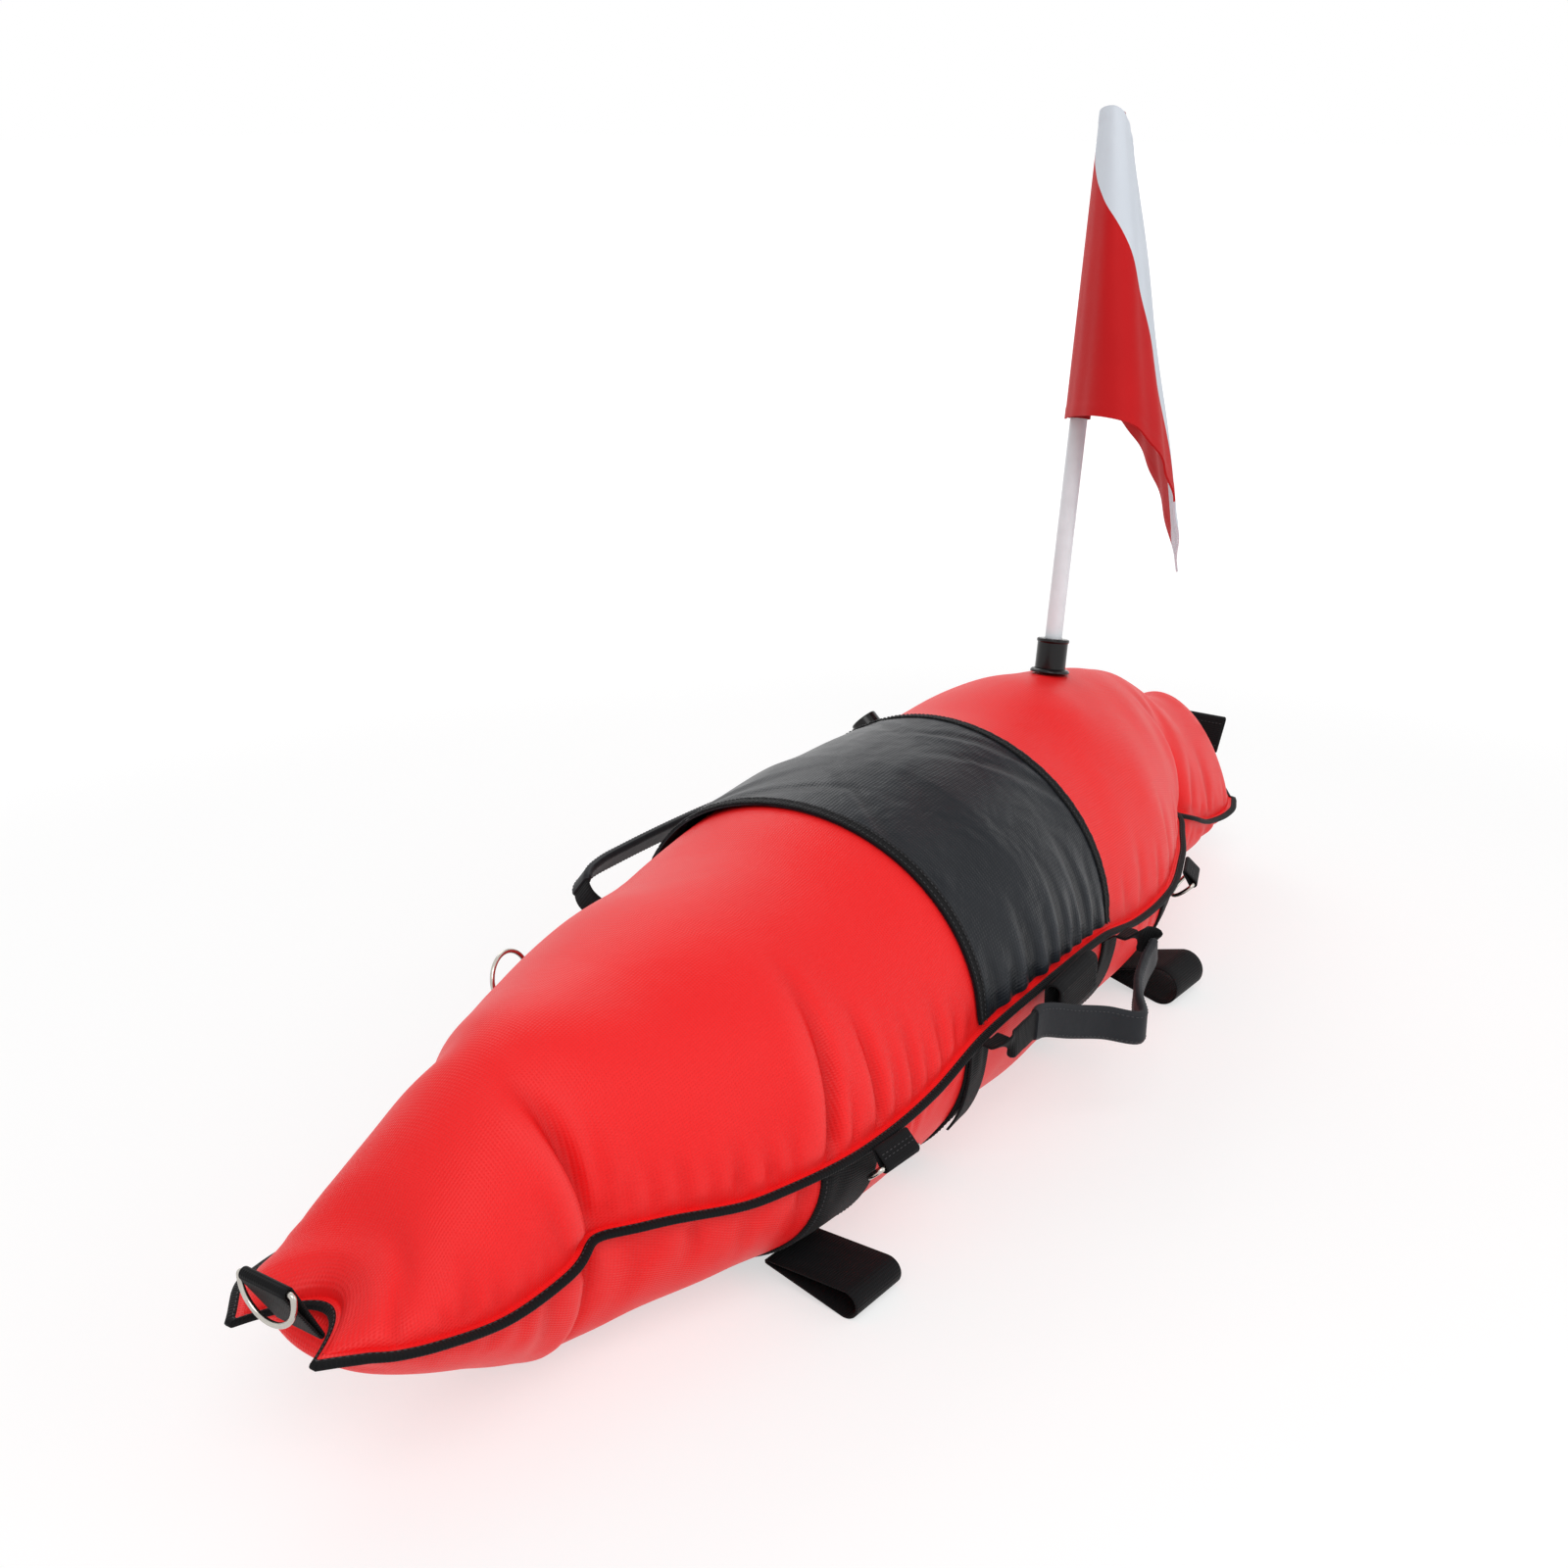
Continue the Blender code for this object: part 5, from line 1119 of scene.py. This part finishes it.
def buildSleeve(prefix, side):
    # flat sleeve on the flank, with a row of stitches at each end
    place = seamFrame(girdle["centre"], side) @ Matrix.Translation((0, gap, -handles["sleeveSink"]))
    radius, length = handles["sleeveDepth"] / 2, handles["sleeveLength"]
    rise, steps = handles["sleeveHeight"] - 2 * radius, handles["sleeveSteps"]
    middle = radius - handles["sleeveWall"] / 2
    outline = [(radius + b, a - rise / 2) for a, b in beltOutline(middle, middle, rise, steps)]
    bandLoop(f"{prefix}_rod_sleeve", outline, length, handles["sleeveWall"], place, "float_bag",
             f"{prefix}_side_sleeve", count=handles["sleevePoints"])
    inset = length / 2 - handles["sleeveInset"]
    heights = np.linspace(-rise / 2, rise / 2, stitch["marks"])
    return [placed(place, [(x, 2 * radius + handles["proud"], z) for z in heights]) for x in (-inset, inset)]


loops = {"width": 0.045, "yaw": math.radians(4), "pinch": 0.0004, "fabric": 0.0014, "rootShare": 0.6131,
         "rollSteps": 30, "front": {"reach": 0.057, "fold": 0.0080}, "rear": {"reach": 0.050, "fold": 0.0135}}


def buildLoop(name, x, reach, fold):
    # webbing loop that hangs from the girth strap down to the floor
    root, fabric = loops["rootShare"] * bag["halfWidth"], loops["fabric"]
    stand = gap + girdle["fabric"] + 2 * gap + loops["pinch"] + fabric
    heights = []
    for half in (-loops["width"] / 2, loops["width"] / 2):
        at = x + half
        share = math.acos((root + half * math.sin(loops["yaw"])) / widthAt(at)) / math.pi
        drop = float(bellyDepth(np.array(at))) * math.sin(math.pi * share) ** bag["roundness"]
        heights.append(heightAt(at, share) - gap / 2 - bag["fabric"] - stand - drop)
    rootHeight = min(heights)
    dip = math.asin((fold + fabric - rootHeight) / reach)
    outline = beltOutline(loops["pinch"] + fabric / 2, fold + fabric / 2, reach, loops["rollSteps"])
    outward = Vector((-math.sin(loops["yaw"]), -math.cos(loops["yaw"]), 0))
    place = tilted(frameAt(Vector((x, -root, rootHeight)), outward), dip)
    bandLoop(f"{name}_web_loop", outline, loops["width"], fabric, place, f"{name}_belly_loop_body",
             f"{name}_belly_loop")


def stitchTree():
    # beads of thread along curves
    tree = bpy.data.node_groups.new("stitchRow", "GeometryNodeTree")
    given = {"Geometry": "Geometry", "Pitch": "Float", "Thickness": "Float", "Stretch": "Float",
             "Thread": "Material"}
    for label, kind in given.items():
        tree.interface.new_socket(label, in_out="INPUT", socket_type="NodeSocket" + kind)
    tree.interface.new_socket("Geometry", in_out="OUTPUT", socket_type="NodeSocketGeometry")
    start, end = (addNode(tree, kind) for kind in ("NodeGroupInput", "NodeGroupOutput"))
    put = start.outputs
    spots = fill(tree, addNode(tree, "GeometryNodeCurveToPoints", mode="LENGTH"), Curve=put["Geometry"],
                 Length=put["Pitch"])
    bead = fill(tree, addNode(tree, "GeometryNodeMeshUVSphere"), Segments=stitch["segments"],
                Rings=stitch["rings"], Radius=put["Thickness"])
    longer = fill(tree, addNode(tree, "ShaderNodeCombineXYZ"), X=1.0, Y=1.0, Z=put["Stretch"])
    copies = fill(tree, addNode(tree, "GeometryNodeInstanceOnPoints"), Points=spots.outputs["Points"],
                  Rotation=spots.outputs["Rotation"], Instance=bead.outputs["Mesh"], Scale=longer.outputs[0])
    real = fill(tree, addNode(tree, "GeometryNodeRealizeInstances"), Geometry=copies.outputs[0])
    shade = fill(tree, addNode(tree, "GeometryNodeSetShadeSmooth"), Geometry=real.outputs[0])
    paint = fill(tree, addNode(tree, "GeometryNodeSetMaterial"), Geometry=shade.outputs[0],
                 Material=put["Thread"])
    fill(tree, end, Geometry=paint.outputs[0])
    return tree


stitchRow = stitchTree()


def addStitches(name, lines, body):
    curve = bpy.data.curves.new(name + "_lines", "CURVE")
    curve.dimensions = "3D"
    for line in lines:
        path = curve.splines.new("POLY")
        path.points.add(len(line) - 1)
        for point, at in zip(path.points, line):
            point.co = (float(at[0]), float(at[1]), float(at[2]), 1)
    holder = bpy.data.objects.new(name + "_lines", curve)
    bpy.context.collection.objects.link(holder)
    rule = holder.modifiers.new("stitches", "NODES")
    rule.node_group = stitchRow
    sockets = {s.name: s.identifier for s in stitchRow.interface.items_tree if s.in_out == "INPUT"}
    for label in ("Pitch", "Thickness", "Stretch"):
        rule[sockets[label]] = stitch[label.lower()]
    rule[sockets["Thread"]] = materials["blackThread"]
    evaluated = holder.evaluated_get(bpy.context.evaluated_depsgraph_get())
    mesh = bpy.data.meshes.new_from_object(evaluated)
    mesh.name = name
    bpy.data.objects.remove(holder)
    finishPiece(name, mesh, "blackThread", None, body, [])


# Mast, flag and valve
mast = {"place": 0.272, "lean": math.radians(12.4), "sideLean": math.radians(1.8), "seat": 0.0007,
        "flange": 0.0155, "flangeThick": 0.003, "socket": 0.012, "socketHeight": 0.027, "floor": 0.004,
        "lip": 0.0008, "pole": 0.0067, "wall": 0.0014, "clearance": 0.0003, "poleLength": 0.422,
        "plug": 0.003, "spigot": 0.010,
        "edges": {"flange": 0.0006, "socket": 0.0005, "tube": 0.0003, "foot": 0.0004, "cap": 0.0005}}
flagSet = {"hoist": 0.229, "fly": 0.305, "cloth": 0.0009, "apex": 0.38, "bearing": math.radians(-64.5),
           "halfWidth": math.radians(6.9), "halfDepth": math.radians(17.5), "backDepth": math.radians(25),
           "sleeve": 0.0090, "sleeveWall": 0.0008, "sleeveEdge": 0.0004, "steps": 1200, "columns": 150,
           "rows": 90, "hem": 0.008, "hemBlend": 0.002, "hemExtra": 0.8, "sharp": 75,
           "turnWave": (60, 3, 0.0010), "fallWave": (9, 5, 0.0008)}
valve = {"place": 0.160, "share": 0.75, "seat": 0.0008, "flange": 0.019, "flangeThick": 0.002, "stem": 0.009,
         "height": 0.012, "bore": 0.005, "wall": 0.0015, "lip": 0.002, "edge": 0.0004}


def basePoint(x, t):
    # a point on the bag's top before any creases
    crown = float(crownHeight(np.array(x))) * math.sin(math.pi * t)
    return Vector((float(pulledIn(np.array(x), t)), -widthAt(x) * math.cos(math.pi * t),
                   heightAt(x, t) + gap / 2 + bag["fabric"] + crown))


def mastFrame():
    axis = Vector((math.sin(mast["lean"]), math.sin(mast["sideLean"]), 1)).normalized()
    across = Vector((0, 1, 0)).cross(axis).normalized()
    return axesMatrix(across, axis.cross(across), axis, basePoint(mast["place"], 0.5))


def buildMast():
    place, edges = mastFrame(), mast["edges"]
    base, lip, rim, thick = mast["seat"], mast["lip"], mast["flange"], mast["flangeThick"]
    outer, pole = mast["socket"], mast["pole"]
    floor, top, deck = base + mast["floor"], base + mast["socketHeight"], base + thick
    bore = pole + mast["clearance"]
    turnedPiece("socket_base", [(outer + gap, base), (rim, base), (rim, base + thick / 2),
                                (rim - thick / 2, deck), (outer + gap, deck)],
                edges["flange"], place, "glossBlack", "float_bag", "socket_flange")
    turnedPiece("socket_cup", [(0, base), (outer, base), (outer, top - 4 * lip), (outer + lip, top - 3 * lip),
                               (outer + lip, top - lip), (outer, top), (bore, top), (bore, floor), (0, floor)],
                edges["socket"], place, "glossBlack", "float_bag", "socket_tube")
    foot = floor + gap
    low, high = foot + mast["plug"], foot + mast["poleLength"] - mast["plug"]
    inner = pole - mast["wall"]
    turnedPiece("mast_tube", [(inner, low + gap), (pole, low + gap), (pole, high - gap), (inner, high - gap)],
                edges["tube"], place, "poleTube", "pole", "flag_pole")
    spigot, sunk, half = inner - gap, mast["spigot"], mast["plug"] / 2
    turnedPiece("mast_foot", [(0, foot), (pole, foot), (pole, low), (spigot, low), (spigot, low + sunk),
                              (0, low + sunk)],
                edges["foot"], place, "glossBlack", "pole", "pole_foot")
    turnedPiece("mast_cap", [(0, high - sunk), (spigot, high - sunk), (spigot, high), (pole, high),
                             (pole, high + half), (pole - half, high + 2 * half), (0, high + 2 * half)],
                edges["cap"], place, "glossBlack", "pole", "pole_cap")
    print("mast made")
    return place, foot


def rollDirection(turn, down, right, fore):
    across = math.tan(flagSet["halfWidth"]) * (1 - math.cos(turn))
    depth = flagSet["halfDepth"] if turn < math.pi else flagSet["backDepth"]
    towards = math.tan(depth) * math.sin(turn)
    return (down + across * right + towards * fore).normalized()


def buildFlag(place, foot):
    # rectangular cloth rolled into a slanting cone, as it hangs from its sewn sleeve
    fly, hoist, apex, steps = (flagSet[key] for key in ("fly", "hoist", "apex", "steps"))
    axis = place.to_3x3().col[2].normalized()
    bearing = Vector((math.cos(flagSet["bearing"]), math.sin(flagSet["bearing"]), 0))
    right = (bearing - bearing.dot(axis) * axis).normalized()
    fore = right.cross(axis)
    top = place @ Vector((0, 0, foot + mast["poleLength"]))
    origin = top - right * (flagSet["sleeve"] + gap + flagSet["cloth"]) + axis * hoist * apex
    lines = [rollDirection(2 * math.pi * k / steps, -axis, right, fore) for k in range(steps + 1)]
    passed = np.concatenate(([0.0], np.cumsum([a.angle(b) for a, b in zip(lines, lines[1:])])))
    table = np.array(lines)
    along, fallen = np.meshgrid(fly * np.linspace(0, 1, flagSet["columns"] + 1),
                                hoist * np.linspace(0, 1, flagSet["rows"] + 1))
    down = fallen + hoist * apex
    angle = np.arctan2(along, down)
    at = np.interp(angle, passed, np.arange(steps + 1))
    k = np.clip(at.astype(int), 0, steps - 1)
    share = (at - k)[..., None]
    direction = unit(table[k] * (1 - share) + table[k + 1] * share)
    normal = unit(np.cross(direction, table[k + 1] - table[k]))
    points = np.array(origin) + direction * np.hypot(along, down)[..., None]
    (rate, drift, first), (fall, slope, second) = flagSet["turnWave"], flagSet["fallWave"]
    wave = np.sin(angle * rate + drift * down / hoist) * first
    wave = wave + np.sin(down / hoist * fall + slope * along / fly) * second
    points = points + normal * (wave * smoothStep(along / fly * 2))[..., None]
    inside = np.minimum(fly - along, np.minimum(fallen, hoist - fallen))
    hem = 1.0 + flagSet["hemExtra"] * (1 - smoothStep((inside - flagSet["hem"]) / flagSet["hemBlend"]))
    half = (flagSet["cloth"] / 2 * hem)[..., None]
    uv = np.stack((along, fallen), -1).reshape(-1, 2)
    materials["flagCloth"] = flagMaterial("flagCloth", fly, hoist)
    piece = makePiece("flag_sheet", *shell(points + normal * half, points - normal * half), "flagCloth", "flag",
                      "flag_cloth", uv=np.concatenate((uv, uv)), sharp=flagSet["sharp"])
    outer, wall = flagSet["sleeve"], flagSet["sleeveWall"]
    crown = foot + mast["poleLength"] + gap + wall
    low, shoulder = crown - hoist, crown - wall
    turnedPiece("hoist_pocket", [(0, shoulder), (outer - wall, shoulder), (outer - wall, low), (outer, low),
                                 (outer, shoulder), (outer - wall, crown), (0, crown)],
                flagSet["sleeveEdge"], place, "flagRed", "flag", "flag_hoist_sleeve")
    print("flag made")


def buildValve():
    x, t, nudge = valve["place"], valve["share"], gap / bag["halfWidth"]
    along = (basePoint(x + gap, t) - basePoint(x - gap, t)).normalized()
    across = basePoint(x, t + nudge) - basePoint(x, t - nudge)
    outward = along.cross(across).normalized()
    outward = outward if outward.z > 0 else -outward
    place = axesMatrix(along, outward.cross(along), outward, basePoint(x, t))
    base, rim, thick, stem, wall = (valve[key] for key in ("seat", "flange", "flangeThick", "stem", "wall"))
    deck, top, bore = base + thick, base + valve["height"], stem + gap
    turnedPiece("valve_base", [(bore, base), (rim, base), (rim, base + thick / 2), (rim - thick, deck),
                               (bore, deck)],
                valve["edge"], place, "glossBlack", "float_bag", "valve_flange")
    turnedPiece("valve_tube", [(valve["bore"], base), (stem, base), (stem, top), (valve["bore"], top)],
                valve["edge"], place, "glossBlack", "float_bag", "valve_stem")
    skirt, low, crest = bore + wall, deck + gap, top + gap + wall
    brim = skirt + valve["lip"]
    turnedPiece("valve_lid", [(0, top + gap), (bore, top + gap), (bore, low), (brim, low), (brim, low + wall),
                              (skirt, low + wall), (skirt, crest - wall / 2), (skirt - wall / 2, crest),
                              (0, crest)],
                valve["edge"], place, "glossBlack", "valve_cap_body", "valve_cap")
    print("valve made")


addCamera()
buildPanels()
buildLiner()
sewn = buildBinding()
sewn += buildWearPanel()
sewn += buildBelts()
sewn += buildTabs()
for prefix, side, lift in (("near", -1, 0.0), ("far", 1, handles["farRaise"])):
    buildHandle(prefix, side, lift)
    sewn += buildSleeve(prefix, side)
for name, side in (("front", -1), ("rear", 1)):
    buildLoop(name, girdle["centre"] + side * girdle["spacing"], **loops[name])
addStitches("bag_stitches", sewn, "float_bag")
buildFlag(*buildMast())
buildValve()
print("pieces made")


# Floor, world and lamps
studio = {"floorColour": (0.93, 0.93, 0.93, 1), "floorRough": 0.9, "floorSpecular": 0.1, "floorGlow": 1.18,
          "nearShare": 0.50, "nearReach": 0.8, "farReach": 1.9, "floorReach": 30.0, "worldStrength": 0.55,
          "lampTarget": (0, 0, 0.12)}
lamps = {"keyLamp": ((-1.6, -1.2, 2.2), 1.6, 26.0), "fillLamp": ((0.6, -2.4, 1.2), 1.8, 9.0),
         "rimLamp": ((1.2, 1.8, 1.8), 1.4, 12.0)}  # place, size and power


def seenDirectly(tree):
    path = addNode(tree, "ShaderNodeLightPath").outputs
    return mathNode(tree, "MAXIMUM", path["Is Camera Ray"], path["Is Glossy Ray"])


def buildFloor():
    # matt floor that glows white to the eye, more so further away
    mesh = bpy.data.meshes.new("studioFloor")
    reach = studio["floorReach"]
    corners = [(-reach, -reach, 0), (reach, -reach, 0), (reach, reach, 0), (-reach, reach, 0)]
    mesh.from_pydata(corners, [], [(0, 1, 2, 3)])
    floor = bpy.data.objects.new("studioFloor", mesh)
    bpy.context.collection.objects.link(floor)
    made, tree, shader = newMaterial("studioFloor")
    fill(tree, shader, Base_Color=studio["floorColour"], Roughness=studio["floorRough"],
         Specular_IOR_Level=studio["floorSpecular"])
    glow = fill(tree, addNode(tree, "ShaderNodeEmission"), Strength=studio["floorGlow"])
    away = fill(tree, addNode(tree, "ShaderNodeVectorMath", operation="LENGTH"),
                Vector=addNode(tree, "ShaderNodeTexCoord").outputs["Object"])
    fade = fill(tree, addNode(tree, "ShaderNodeMapRange", interpolation_type="SMOOTHSTEP"),
                Value=away.outputs["Value"], From_Min=studio["nearReach"], From_Max=studio["farReach"],
                To_Min=studio["nearShare"], To_Max=1.0)
    share = mathNode(tree, "MULTIPLY", seenDirectly(tree), fade.outputs[0])
    mixed = addNode(tree, "ShaderNodeMixShader")
    for socket, value in zip(mixed.inputs, (share, shader.outputs[0], glow.outputs[0])):
        feed(tree, socket, value)
    fill(tree, tree.nodes["Material Output"], Surface=mixed.outputs[0])
    mesh.materials.append(made)


def buildStudio():
    buildFloor()
    world = bpy.data.worlds.new("studioWorld")
    bpy.context.scene.world = world
    world.use_nodes = True
    tree, dim = world.node_tree, studio["worldStrength"]
    strength = mathNode(tree, "MULTIPLY_ADD", seenDirectly(tree), 1.0 - dim, dim)
    fill(tree, tree.nodes["Background"], Color=(1, 1, 1, 1), Strength=strength)
    for name, (spot, size, power) in lamps.items():
        light = bpy.data.lights.new(name, "AREA")
        light.size, light.energy = size, power
        lamp = bpy.data.objects.new(name, light)
        lamp.location = spot
        aim = Vector(studio["lampTarget"]) - Vector(spot)
        lamp.rotation_euler = aim.to_track_quat("-Z", "Y").to_euler()
        bpy.context.collection.objects.link(lamp)
    bpy.context.scene.view_settings.view_transform = "Standard"


buildStudio()
print("scene ready")
